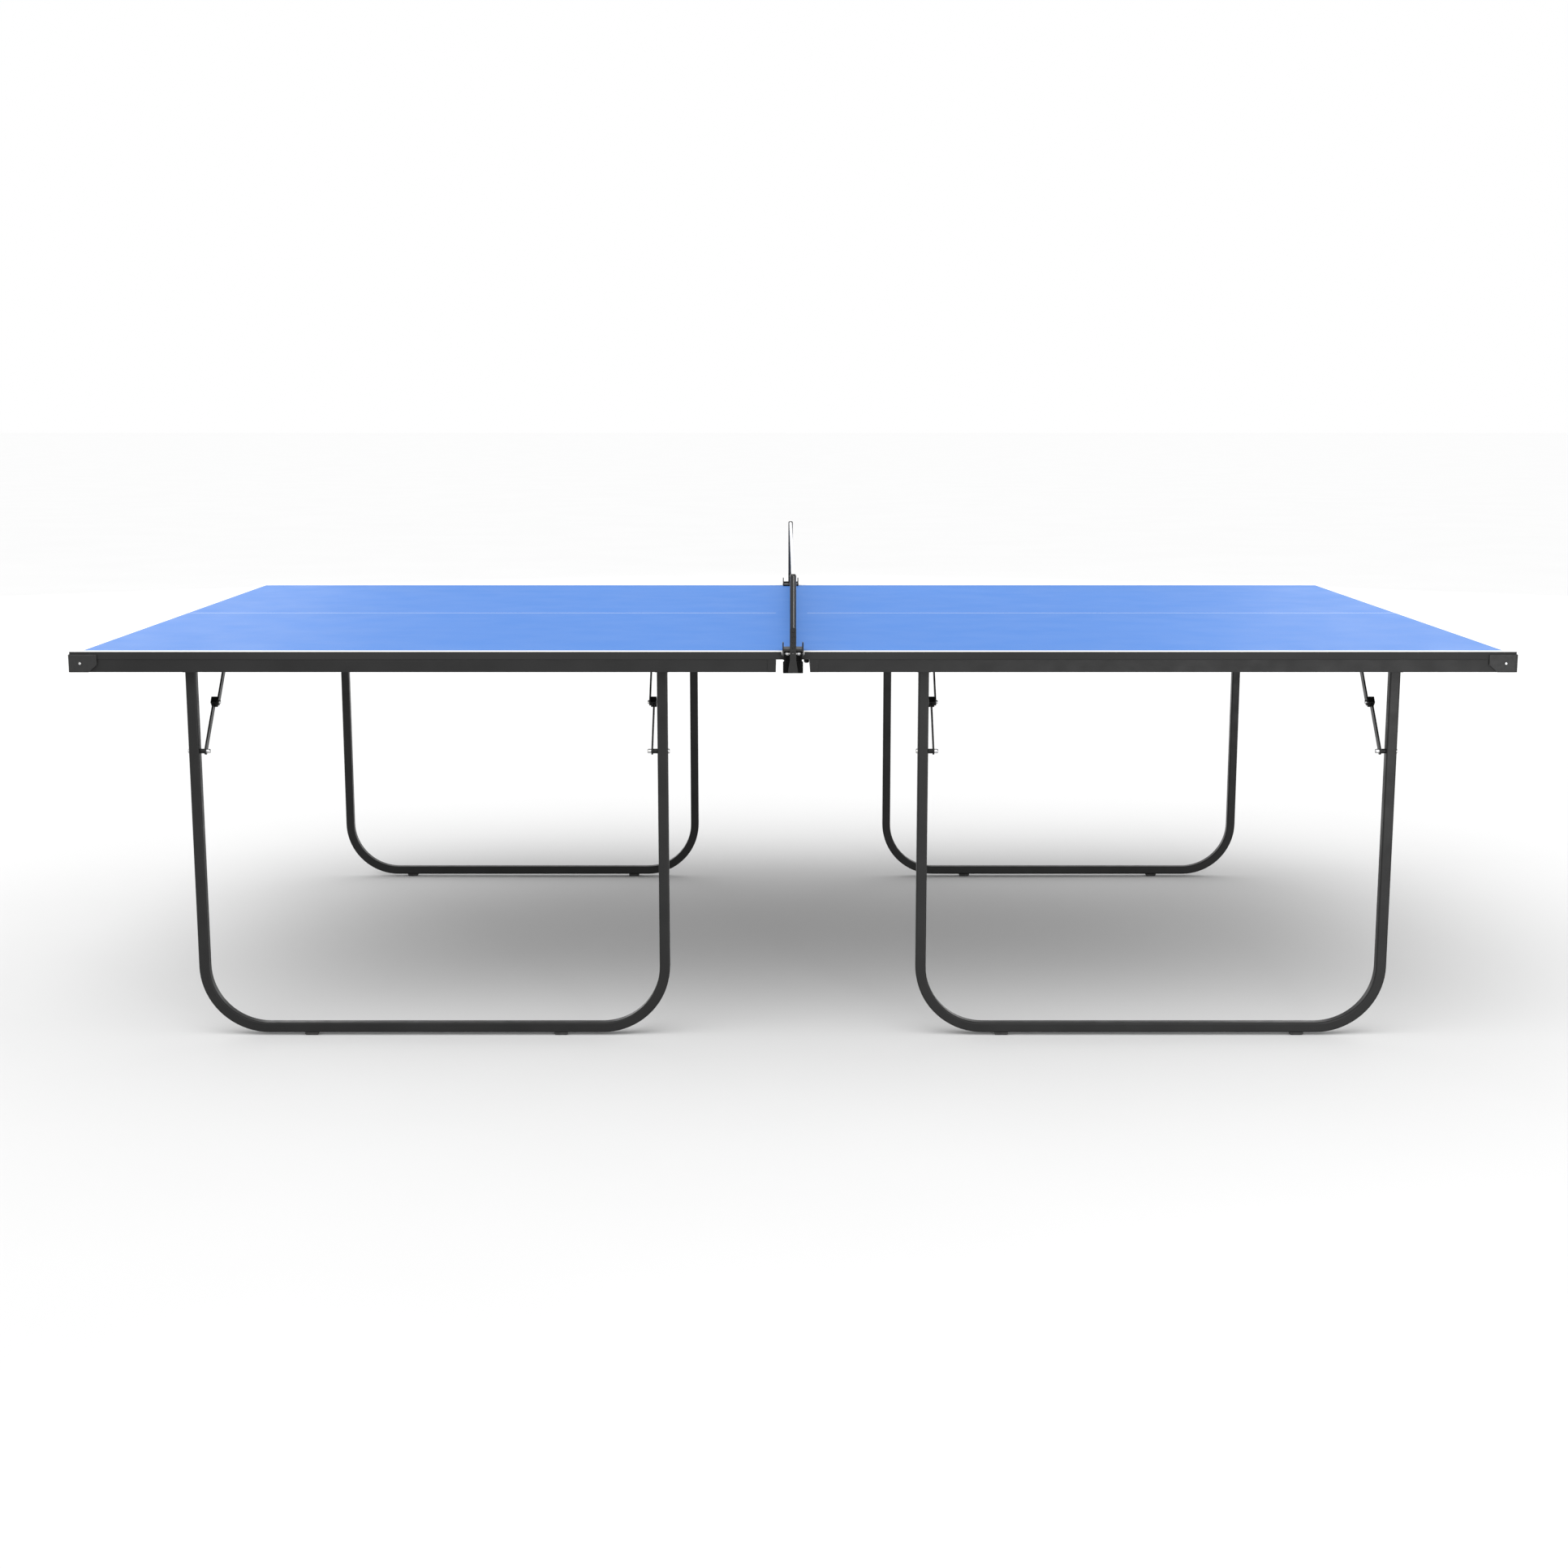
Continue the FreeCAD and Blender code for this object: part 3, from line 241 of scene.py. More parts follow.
def powder_coat(name, dark, light, roughness, pebble=1400, height=0.00003):
    """Powder coat over steel, paler in patches on its edges: partly wear, partly a painted edge highlight.
    """
    material, tree, shader = new_material(name)
    normal, edge_mask = edge_rounding_and_mask(tree, 0.0007, 70)
    coat = tint(tree, grain(tree, 14, 6), dark, light)
    # The paler colour along the edges is partly wear and partly a painted highlight.
    tree.links.new(edge_toned_colour(tree, coat, edge_mask, (0.060, 0.060, 0.062)), shader.inputs["Base Color"])
    tree.links.new(spread(tree, grain(tree, 40, 4), 0.3, 0.7, roughness - 0.05, roughness + 0.06),
                   shader.inputs["Roughness"])
    shader.inputs["Specular IOR Level"].default_value = 0.21
    raise_surface(tree, shader, grain(tree, pebble, 2), height, 0.6, normal)
    return material


def paint_nodes(material, *names):
    """Give carried-over pieces their finish."""
    for name in names:
        for mesh_slot in nodes[name].material_slots:
            mesh_slot.material = material


rail_coat = powder_coat("rail_powder_coat", (0.0125, 0.0125, 0.0125), (0.0165, 0.0165, 0.0165), 0.50)
for half in HALVES:
    paint_nodes(rail_coat, f"{half}_side_rails", f"{half}_end_rail", f"{half}_centre_rail")


# ------------------------------------------------------------------ corner protectors
# Moulded black plastic guards wrap the table's outer corners.  Spark-eroded moulds
# leave them with a fine leathery texture.
corner_plastic, tree, shader = new_material("moulded_corner_plastic")
normal, edge_mask = edge_rounding_and_mask(tree, 0.0010, 90)
moulded = tint(tree, grain(tree, 60, 5), (0.014, 0.014, 0.014), (0.019, 0.019, 0.019))
# Paler edges: partly wear, partly a painted edge highlight.
tree.links.new(edge_toned_colour(tree, moulded, edge_mask, (0.070, 0.070, 0.072)), shader.inputs["Base Color"])
tree.links.new(spread(tree, grain(tree, 220, 3), 0.3, 0.7, 0.48, 0.62), shader.inputs["Roughness"])
shader.inputs["Specular IOR Level"].default_value = 0.34
raise_surface(tree, shader, grain(tree, 1800, 3), 0.00004, 0.7, normal)
for half in HALVES:
    paint_nodes(corner_plastic, f"{half}_corner_protectors")


# ------------------------------------------------------------------ U legs
# Each leg is one length of 20 mm square steel tube, drawn round two bends and then
# coated in the same black as the rails, a little smoother.
SIDES = {"near": -1, "far": 1}
leg_coat = powder_coat("leg_powder_coat", (0.0115, 0.0115, 0.0115), (0.0155, 0.0155, 0.0155), 0.42,
                       1100, 0.00002)
for half in HALVES:
    for side in SIDES:
        paint_nodes(leg_coat, f"{side}_{half}_leg_frame")

# ------------------------------------------------------------------ foot pads
# Black rubber feet, moulded and fixed under the lower bar of each leg.  They carry a
# dusty bloom and are a little paler in patches.
foot_rubber, tree, shader = new_material("foot_rubber")
tree.links.new(tint(tree, grain(tree, 150, 5), (0.018, 0.018, 0.018), (0.034, 0.033, 0.032)),
               shader.inputs["Base Color"])
tree.links.new(spread(tree, grain(tree, 90, 4), 0.3, 0.7, 0.74, 0.90), shader.inputs["Roughness"])
normal, _ = edge_rounding_and_mask(tree, 0.0008, 200)
raise_surface(tree, shader, grain(tree, 700, 4), 0.0001, 0.8, normal)
for half in HALVES:
    for side in SIDES:
        paint_nodes(foot_rubber, f"{side}_{half}_foot_pads")

# ------------------------------------------------------------------ braces and brackets
# Flat bar links and pressed brackets, black over steel, the links with sheared edges.  The sliding locks
# are black nylon.
link_coat = powder_coat("link_black_coat", (0.006, 0.006, 0.006), (0.010, 0.010, 0.010), 0.38, 900, 0.00003)
bracket_coat = powder_coat("bracket_black_coat", (0.012, 0.012, 0.012), (0.017, 0.017, 0.017), 0.5, 900)
lock_nylon, tree, shader = new_material("lock_nylon")
normal, edge_mask = edge_rounding_and_mask(tree, 0.0006, 200)
nylon = tint(tree, grain(tree, 300, 4), (0.002, 0.002, 0.002), (0.005, 0.005, 0.005))
# Paler edges: partly wear, partly a painted edge highlight.
tree.links.new(edge_toned_colour(tree, nylon, edge_mask, (0.020, 0.020, 0.020)), shader.inputs["Base Color"])
tree.links.new(spread(tree, grain(tree, 500, 3), 0.3, 0.7, 0.42, 0.58), shader.inputs["Roughness"])
shader.inputs["Specular IOR Level"].default_value = 0.15
raise_surface(tree, shader, grain(tree, 1500, 3), 0.00005, 0.6, normal)
for half in HALVES:
    paint_nodes(bracket_coat, f"{half}_leg_brackets", f"{half}_brace_brackets")
    for side in SIDES:
        paint_nodes(link_coat, f"{side}_{half}_lower_links", f"{side}_{half}_upper_links")
        paint_nodes(lock_nylon, f"{side}_{half}_knee_locks")
paint_nodes(bracket_coat, "left_joining_forks", "right_joining_studs")


# ------------------------------------------------------------------ bolts
# Zinc-plated button heads and cap nuts; the plating is bright with a faint blue and
# yellow passivation, and fine turning marks.
def zinc_plate(name, roughness):
    """Bright zinc plating, duller on scuffed edges."""
    material, tree, shader = new_material(name)
    normal, edge_mask = edge_rounding_and_mask(tree, 0.0004, 400)
    plating = tint(tree, grain(tree, 240, 4), (0.50, 0.51, 0.54), (0.66, 0.65, 0.62))
    tree.links.new(edge_toned_colour(tree, plating, edge_mask, (0.36, 0.35, 0.34)), shader.inputs["Base Color"])
    tree.links.new(spread(tree, grain(tree, 900, 3), 0.3, 0.7, roughness - 0.07, roughness + 0.1),
                   shader.inputs["Roughness"])
    shader.inputs["Metallic"].default_value = 1.0
    raise_surface(tree, shader, grain(tree, 2500, 2), 0.00001, 0.5, normal)
    return material


bolt_zinc = zinc_plate("bolt_zinc_plate", 0.3)
for half in HALVES:
    paint_nodes(bolt_zinc, f"{half}_pivot_bolts")
    for side in SIDES:
        paint_nodes(bolt_zinc, f"{side}_{half}_brace_bolts", f"{side}_{half}_knee_bolts")
screw_zinc = zinc_plate("screw_zinc_plate", 0.25)
for half in HALVES:
    paint_nodes(screw_zinc, f"{half}_screws")

# ------------------------------------------------------------------ net clips
# Pressed steel jaws, satin black, with rubber pads on their gripping faces, a zinc
# hinge pin, and a notched plate that flares to a thumb tab.
clip_coat = powder_coat("clip_satin_coat", (0.012, 0.012, 0.012), (0.018, 0.018, 0.018), 0.4, 1000)
paint_nodes(clip_coat, "clip_upper_jaws", "clip_thumb_plates")
jaw_coat = powder_coat("lower_jaw_black_coat", (0.002, 0.002, 0.002), (0.004, 0.004, 0.004), 0.3, 1000)
jaw_coat.node_tree.nodes["Principled BSDF"].inputs["Specular IOR Level"].default_value = 0.05
paint_nodes(jaw_coat, "near_lower_jaw", "far_lower_jaw")
clip_rubber, tree, shader = new_material("clip_pad_rubber")
tree.links.new(tint(tree, grain(tree, 200, 4), (0.010, 0.010, 0.010), (0.020, 0.020, 0.020)),
               shader.inputs["Base Color"])
tree.links.new(spread(tree, grain(tree, 150, 4), 0.3, 0.7, 0.78, 0.92), shader.inputs["Roughness"])
raise_surface(tree, shader, grain(tree, 900, 3), 0.0001, 0.8)
paint_nodes(clip_rubber, "clip_upper_pads", "near_lower_pad", "far_lower_pad")
paint_nodes(bolt_zinc, "clip_pins")


# ------------------------------------------------------------------ clip springs
# Torsion springs of zinc-plated 1.6 mm wire, wound four turns each round the hinge
# pin, one at each side of each clip.
def geometry_tree(name, sockets):
    """New geometry node tree with named inputs; returns it with its input and output nodes."""
    group = bpy.data.node_groups.new(name, "GeometryNodeTree")
    group.interface.new_socket("Geometry", in_out="INPUT", socket_type="NodeSocketGeometry")
    for socket_name, kind, value in sockets:
        socket = group.interface.new_socket(socket_name, in_out="INPUT", socket_type=kind)
        if value is not None:
            socket.default_value = value
    group.interface.new_socket("Geometry", in_out="OUTPUT", socket_type="NodeSocketGeometry")
    return group, group.nodes.new("NodeGroupInput"), group.nodes.new("NodeGroupOutput")


def wire(group, *links):
    """Join sockets of one tree, given as pairs."""
    for start, end in links:
        group.links.new(start, end)


def grow(name, base_mesh, group, values, body):
    """Run a geometry tree on a base mesh and keep the result as one plain piece."""
    piece = link_object(name, base_mesh)
    modifier = piece.modifiers.new("grow", "NODES")
    modifier.node_group = group
    ids = {item.name: item.identifier for item in group.interface.items_tree
           if item.item_type == "SOCKET" and item.in_out == "INPUT"}
    for socket_name, value in values.items():
        modifier[ids[socket_name]] = value
    graph = bpy.context.evaluated_depsgraph_get()
    mesh = bpy.data.meshes.new_from_object(piece.evaluated_get(graph))
    piece.modifiers.remove(modifier)
    piece.data = mesh
    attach(piece, body)
    return piece


def points_mesh(name, places):
    """Mesh of loose points."""
    mesh = bpy.data.meshes.new(name)
    mesh.from_pydata(places, [], [])
    return mesh


coil, given, result = geometry_tree("wound_spring", [
    ("Wire radius", "NodeSocketFloat", 0.0008), ("Coil radius", "NodeSocketFloat", 0.0037),
    ("Length", "NodeSocketFloat", 0.0055), ("Turns", "NodeSocketFloat", 4.0),
    ("Material", "NodeSocketMaterial", None)])
helix = coil.nodes.new("GeometryNodeCurveSpiral")
helix.inputs["Resolution"].default_value = 24
section = coil.nodes.new("GeometryNodeCurvePrimitiveCircle")
section.inputs["Resolution"].default_value = 10
sweep = coil.nodes.new("GeometryNodeCurveToMesh")
sweep.inputs["Fill Caps"].default_value = True
centre = coil.nodes.new("ShaderNodeMath")
centre.operation = "MULTIPLY"
centre.inputs[1].default_value = -0.5
offset = coil.nodes.new("ShaderNodeCombineXYZ")
lay = coil.nodes.new("GeometryNodeTransform")
turn_over = coil.nodes.new("GeometryNodeTransform")
turn_over.inputs["Rotation"].default_value = (0, math.pi / 2, 0)
place_each = coil.nodes.new("GeometryNodeInstanceOnPoints")
realize = coil.nodes.new("GeometryNodeRealizeInstances")
finish = coil.nodes.new("GeometryNodeSetMaterial")
smooth = coil.nodes.new("GeometryNodeSetShadeSmooth")
wire(coil,
     (given.outputs["Turns"], helix.inputs["Rotations"]),
     (given.outputs["Coil radius"], helix.inputs["Start Radius"]),
     (given.outputs["Coil radius"], helix.inputs["End Radius"]),
     (given.outputs["Length"], helix.inputs["Height"]),
     (given.outputs["Wire radius"], section.inputs["Radius"]),
     (helix.outputs["Curve"], sweep.inputs["Curve"]),
     (section.outputs["Curve"], sweep.inputs["Profile Curve"]),
     (given.outputs["Length"], centre.inputs[0]),
     (centre.outputs[0], offset.inputs["Z"]),
     (offset.outputs["Vector"], lay.inputs["Translation"]),
     (sweep.outputs["Mesh"], lay.inputs["Geometry"]),
     (lay.outputs["Geometry"], turn_over.inputs["Geometry"]),
     (given.outputs["Geometry"], place_each.inputs["Points"]),
     (turn_over.outputs["Geometry"], place_each.inputs["Instance"]),
     (place_each.outputs["Instances"], realize.inputs["Geometry"]),
     (realize.outputs["Geometry"], smooth.inputs["Geometry"]),
     (smooth.outputs["Geometry"], finish.inputs["Geometry"]),
     (given.outputs["Material"], finish.inputs["Material"]),
     (finish.outputs["Geometry"], result.inputs["Geometry"]))
WIRE_RADIUS = 0.0008
SPRING_LENGTH = 0.0055
SPRING_TURNS = 4.0
spring_low, spring_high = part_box("clip_springs")
coil_radius = (spring_high[2] - spring_low[2]) / 2
spring_x = spring_high[0] - SPRING_LENGTH / 2
spring_y = spring_high[1] - coil_radius
spring_z = spring_low[2] + coil_radius
spring_places = [(sx * spring_x, sy * spring_y, spring_z) for sx in (-1, 1) for sy in (-1, 1)]
springs = grow("clip_torsion_springs", points_mesh("spring_places", spring_places), coil,
               {"Wire radius": WIRE_RADIUS, "Coil radius": coil_radius - WIRE_RADIUS,
                "Length": SPRING_LENGTH - 2 * WIRE_RADIUS, "Turns": SPRING_TURNS,
                "Material": bolt_zinc},
               "left_half")
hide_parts("clip_springs")

# ------------------------------------------------------------------ net posts
# Steel tube posts in gloss black enamel, each with a rounded top.  Each slides up and
# down in its clip and carries one end of the net.
post_enamel, tree, shader = new_material("post_gloss_enamel")
tree.links.new(tint(tree, grain(tree, 30, 4), (0.008, 0.008, 0.008), (0.014, 0.014, 0.014)),
               shader.inputs["Base Color"])
tree.links.new(spread(tree, grain(tree, 120, 4), 0.3, 0.7, 0.20, 0.26), shader.inputs["Roughness"])
raise_surface(tree, shader, grain(tree, 260, 2), 0.00002, 0.4)
paint_nodes(post_enamel, "net_posts")


# ------------------------------------------------------------------ netting
# Black knotted polyester net, 12 mm square mesh of 1 mm yarn, stretched between the
# posts, with a bound edge at each end and along the bottom.
def yarn(name, dark, light, twist):
    """Twisted yarn or woven cloth: fine ridges, dull, with a soft sheen."""
    material, tree, shader = new_material(name)
    tree.links.new(tint(tree, grain(tree, 500, 4), dark, light), shader.inputs["Base Color"])
    tree.links.new(spread(tree, grain(tree, 120, 3), 0.3, 0.7, 0.78, 0.92), shader.inputs["Roughness"])
    shader.inputs["Sheen Weight"].default_value = 0.25
    shader.inputs["Sheen Roughness"].default_value = 0.5
    raise_surface(tree, shader, grain(tree, twist, 2), 0.0001, 0.8)
    return material


KNOT_SWELL = 2.1
net_yarn = yarn("net_black_yarn", (0.006, 0.006, 0.007), (0.014, 0.014, 0.015), 1600)
netting, given, result = geometry_tree("knotted_netting", [
    ("Length", "NodeSocketFloat", 1.53), ("Height", "NodeSocketFloat", 0.13),
    ("Cell", "NodeSocketFloat", 0.012), ("Yarn radius", "NodeSocketFloat", 0.0005),
    ("Slack", "NodeSocketFloat", 0.0012), ("Seed", "NodeSocketInt", 7),
    ("Slope", "NodeSocketFloat", 0.0), ("Foot", "NodeSocketVector", None),
    ("Material", "NodeSocketMaterial", None)])


def count_cells(length_socket):
    """Whole number of cells along one side, plus one, from its length."""
    divide = netting.nodes.new("ShaderNodeMath")
    divide.operation = "DIVIDE"
    whole = netting.nodes.new("ShaderNodeMath")
    whole.operation = "ROUND"
    extra = netting.nodes.new("ShaderNodeMath")
    extra.inputs[1].default_value = 1.0
    wire(netting, (length_socket, divide.inputs[0]), (given.outputs["Cell"], divide.inputs[1]),
         (divide.outputs[0], whole.inputs[0]), (whole.outputs[0], extra.inputs[0]))
    return extra.outputs[0]


web = netting.nodes.new("GeometryNodeMeshGrid")
spot = netting.nodes.new("GeometryNodeInputPosition")
axes = netting.nodes.new("ShaderNodeSeparateXYZ")
share = netting.nodes.new("ShaderNodeMath")
share.operation = "DIVIDE"
from_foot = netting.nodes.new("ShaderNodeMath")
from_foot.inputs[1].default_value = 0.5
tall = netting.nodes.new("ShaderNodeMath")
tall.operation = "MULTIPLY_ADD"
height_here = netting.nodes.new("ShaderNodeMath")
height_here.operation = "MULTIPLY"
upright = netting.nodes.new("ShaderNodeCombineXYZ")
stand = netting.nodes.new("GeometryNodeSetPosition")
lift = netting.nodes.new("ShaderNodeVectorMath")
stir = netting.nodes.new("ShaderNodeTexNoise")
stir.noise_dimensions = "4D"
stir.inputs["Scale"].default_value = 9.0
stir.inputs["Detail"].default_value = 2.0
level = netting.nodes.new("ShaderNodeVectorMath")
level.operation = "SUBTRACT"
level.inputs[1].default_value = (0.5, 0.5, 0.5)
size_it = netting.nodes.new("ShaderNodeVectorMath")
size_it.operation = "SCALE"
shift = netting.nodes.new("GeometryNodeSetPosition")
strands = netting.nodes.new("GeometryNodeMeshToCurve")
section = netting.nodes.new("GeometryNodeCurvePrimitiveCircle")
section.inputs["Resolution"].default_value = 5
sweep = netting.nodes.new("GeometryNodeCurveToMesh")
knot = netting.nodes.new("GeometryNodeMeshIcoSphere")
knot.inputs["Subdivisions"].default_value = 1
swell = netting.nodes.new("ShaderNodeMath")
swell.operation = "MULTIPLY"
swell.inputs[1].default_value = KNOT_SWELL
knots = netting.nodes.new("GeometryNodeInstanceOnPoints")
join = netting.nodes.new("GeometryNodeJoinGeometry")
realize = netting.nodes.new("GeometryNodeRealizeInstances")
smooth = netting.nodes.new("GeometryNodeSetShadeSmooth")
finish = netting.nodes.new("GeometryNodeSetMaterial")
wire(netting,
     (given.outputs["Length"], web.inputs["Size X"]), (given.outputs["Height"], web.inputs["Size Y"]),
     (count_cells(given.outputs["Length"]), web.inputs["Vertices X"]),
     (count_cells(given.outputs["Height"]), web.inputs["Vertices Y"]),
     (spot.outputs["Position"], axes.inputs["Vector"]),
     (axes.outputs["Y"], share.inputs[0]), (given.outputs["Height"], share.inputs[1]),
     (share.outputs[0], from_foot.inputs[0]),
     (axes.outputs["X"], tall.inputs[0]), (given.outputs["Slope"], tall.inputs[1]),
     (given.outputs["Height"], tall.inputs[2]),
     (from_foot.outputs[0], height_here.inputs[0]), (tall.outputs[0], height_here.inputs[1]),
     (axes.outputs["X"], upright.inputs["Y"]), (height_here.outputs[0], upright.inputs["Z"]),
     (upright.outputs["Vector"], lift.inputs[0]), (given.outputs["Foot"], lift.inputs[1]),
     (web.outputs["Mesh"], stand.inputs["Geometry"]), (lift.outputs["Vector"], stand.inputs["Position"]),
     (stand.outputs["Geometry"], shift.inputs["Geometry"]),
     (given.outputs["Seed"], stir.inputs["W"]),
     (stir.outputs["Color"], level.inputs[0]),
     (level.outputs["Vector"], size_it.inputs[0]),
     (given.outputs["Slack"], size_it.inputs["Scale"]),
     (size_it.outputs["Vector"], shift.inputs["Offset"]),
     (shift.outputs["Geometry"], strands.inputs["Mesh"]),
     (strands.outputs["Curve"], sweep.inputs["Curve"]),
     (given.outputs["Yarn radius"], section.inputs["Radius"]),
     (section.outputs["Curve"], sweep.inputs["Profile Curve"]),
     (given.outputs["Yarn radius"], swell.inputs[0]),
     (swell.outputs[0], knot.inputs["Radius"]),
     (shift.outputs["Geometry"], knots.inputs["Points"]),
     (knot.outputs["Mesh"], knots.inputs["Instance"]),
     (sweep.outputs["Mesh"], join.inputs["Geometry"]),
     (knots.outputs["Instances"], join.inputs["Geometry"]),
     (join.outputs["Geometry"], realize.inputs["Geometry"]),
     (realize.outputs["Geometry"], smooth.inputs["Geometry"]),
     (smooth.outputs["Geometry"], finish.inputs["Geometry"]),
     (given.outputs["Material"], finish.inputs["Material"]),
     (finish.outputs["Geometry"], result.inputs["Geometry"]))

net_low, net_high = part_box("net_panel")


END_REACH = 0.02


def top_at_end(name, sign):
    """Height of a piece's highest point at its near (-1) or far (1) end."""
    spots = [v.co for v in nodes[name].data.vertices]
    end = max(sign * spot.y for spot in spots)
    return max(spot.z for spot in spots if sign * spot.y > end - END_REACH)


net_end_tops = {sign: top_at_end("net_panel", sign) for sign in (-1, 1)}
NET_CELL = 0.012
YARN_RADIUS = 0.0005
EDGE_BINDING = 0.008
NET_SLACK = 0.0012
NET_SEED = 7
net_length = net_high[1] - net_low[1] - EDGE_BINDING
net_height = (net_end_tops[-1] + net_end_tops[1]) / 2 - net_low[2]
net_foot = (0, 0, net_low[2])
net_slope = (net_end_tops[1] - net_end_tops[-1]) / (net_high[1] - net_low[1])
net = grow("knotted_net", points_mesh("net_seed", [net_foot]), netting,
           {"Length": net_length, "Height": net_height, "Slope": net_slope, "Cell": NET_CELL,
            "Yarn radius": YARN_RADIUS, "Slack": NET_SLACK, "Seed": NET_SEED, "Foot": net_foot,
            "Material": net_yarn}, "net_set")
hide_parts("net_panel")

# ------------------------------------------------------------------ net bindings
# A folded black polyester tape is sewn over the net's two ends and its lower edge.
# The end ones reach the posts.
binding_cloth = yarn("net_black_binding", (0.008, 0.008, 0.009), (0.018, 0.018, 0.019), 900)


def soft_strip(name, low, high, material, rounding):
    """Flat cloth strip, closed, with soft edges."""
    strip = link_object(name, box_mesh(name, low, high), material)
    eased(strip, rounding, 3)
    for face in strip.data.polygons:
        face.use_smooth = True
    return strip


HALF_BINDING = 0.0009
LOWER_BINDING = 0.006
SOFT_EDGE = 0.0006
bindings = []
for side, sign in SIDES.items():
    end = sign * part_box("net_tape")[1][1]
    inner = sign * (net_high[1] - EDGE_BINDING)
    low = (-HALF_BINDING, min(end, inner), net_low[2])
    high = (HALF_BINDING, max(end, inner), net_end_tops[sign])
    bindings.append(soft_strip(f"{side}_net_binding", low, high, binding_cloth, SOFT_EDGE))
bindings.append(soft_strip("lower_net_binding", (-HALF_BINDING, net_low[1], net_low[2]),
                           (HALF_BINDING, net_high[1], net_low[2] + LOWER_BINDING),
                           binding_cloth, SOFT_EDGE))
for strip in bindings:
    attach(strip, "net_set")

# ------------------------------------------------------------------ top tape
# White woven cotton tape, folded over the net's upper edge and sewn through with two
# rows of white thread on each face.
tape_low, tape_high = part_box("net_tape")
tape_cloth, tree, shader = new_material("white_woven_tape")
place = add_node(tree, "ShaderNodeTexCoord")
weave_a = add_node(tree, "ShaderNodeTexWave", {"bands_direction": "Y"}, Scale=260, Distortion=0.4)
weave_b = add_node(tree, "ShaderNodeTexWave", {"bands_direction": "Z"}, Scale=260, Distortion=0.4)
cross = add_node(tree, "ShaderNodeMath", {"operation": "MULTIPLY"})
for weave_index, weave in enumerate((weave_a, weave_b)):
    tree.links.new(place.outputs["Object"], weave.inputs["Vector"])
    tree.links.new(weave.outputs["Fac"], cross.inputs[weave_index])
tree.links.new(tint(tree, cross.outputs[0], (0.74, 0.74, 0.72), (0.90, 0.90, 0.88)),
               shader.inputs["Base Color"])
shader.inputs["Roughness"].default_value = 0.9
shader.inputs["Sheen Weight"].default_value = 0.2
raise_surface(tree, shader, cross.outputs[0], 0.0001, 0.7)


CLOSED_SHARE = 0.32


def folded_profile(width, height, count):
    """Half of the folded tape's outline seen end on: round over the fold, then closing."""
    outline = []
    for step in range(count + 1):
        angle = math.pi / 2 * step / count
        outline.append((width / 2 * math.sin(angle), height - width / 2 * (1 - math.cos(angle))))
    pinch = width * CLOSED_SHARE
    for share in (0.35, 0.7, 1.0):
        drop = (height - width / 2) * (1 - share)
        blend = share * share * (3 - 2 * share)
        outline.append((width / 2 * (1 - blend) + pinch * blend, drop))
    return outline


TAPE_RIPPLE = 0.0004
RIPPLE_TURNS = 37.0
RIPPLE_START = 1.3
TAPE_STEP = 0.02
FOLD_STEPS = 6
STITCH_ROWS = (0.0030, 0.0062)
STITCH_SPACING = 0.0042
STITCH_LENGTH = 0.0030
STITCH_RADIUS = 0.00035
tape_width = tape_high[0] - tape_low[0]
tape_slope = (top_at_end("net_tape", 1) - top_at_end("net_tape", -1)) / (tape_high[1] - tape_low[1])
tape_height = top_at_end("net_tape", -1) - tape_low[2]
tape_count = round((tape_high[1] - tape_low[1]) / TAPE_STEP)
profile = folded_profile(tape_width, tape_height, FOLD_STEPS)


def on_tape(index, x, z):
    """Point of the tape's cross-section at one station of its length, sloped and slightly rippled."""
    y = tape_low[1] + (tape_high[1] - tape_low[1]) * index / tape_count
    sway = TAPE_RIPPLE * math.sin(y * RIPPLE_TURNS + RIPPLE_START) * (1 - z / tape_height)
    return (x + sway, y, z + tape_low[2] + tape_slope * (y - tape_low[1]))


def face_at(height):
    """Half thickness of the folded tape at a height above its lower edge."""
    for (x0, z0), (x1, z1) in zip(profile, profile[1:]):
        if z1 <= height <= z0:
            return x0 + (x1 - x0) * (z0 - height) / (z0 - z1)
    return profile[-1][0]


ring = profile + [(-x, z) for x, z in reversed(profile[1:])]
tape_points = [on_tape(index, x, z) for index in range(tape_count + 1) for x, z in ring]
tape_faces = [tuple(range(len(ring))), tuple(range(tape_count * len(ring), len(tape_points)))]
for index in range(tape_count):
    for spot in range(len(ring)):
        a = index * len(ring) + spot
        b = index * len(ring) + (spot + 1) % len(ring)
        tape_faces.append((a, b, b + len(ring), a + len(ring)))
tape_mesh = bpy.data.meshes.new("folded_top_tape")
tape_mesh.from_pydata(tape_points, [], tape_faces)
shape = bmesh.new()
shape.from_mesh(tape_mesh)
bmesh.ops.recalc_face_normals(shape, faces=shape.faces[:])
shape.to_mesh(tape_mesh)
shape.free()
tape_mesh.polygons.foreach_set("use_smooth", [True] * len(tape_mesh.polygons))
tape = link_object("folded_top_tape", tape_mesh, tape_cloth)
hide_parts("net_tape")
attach(tape, "net_set")

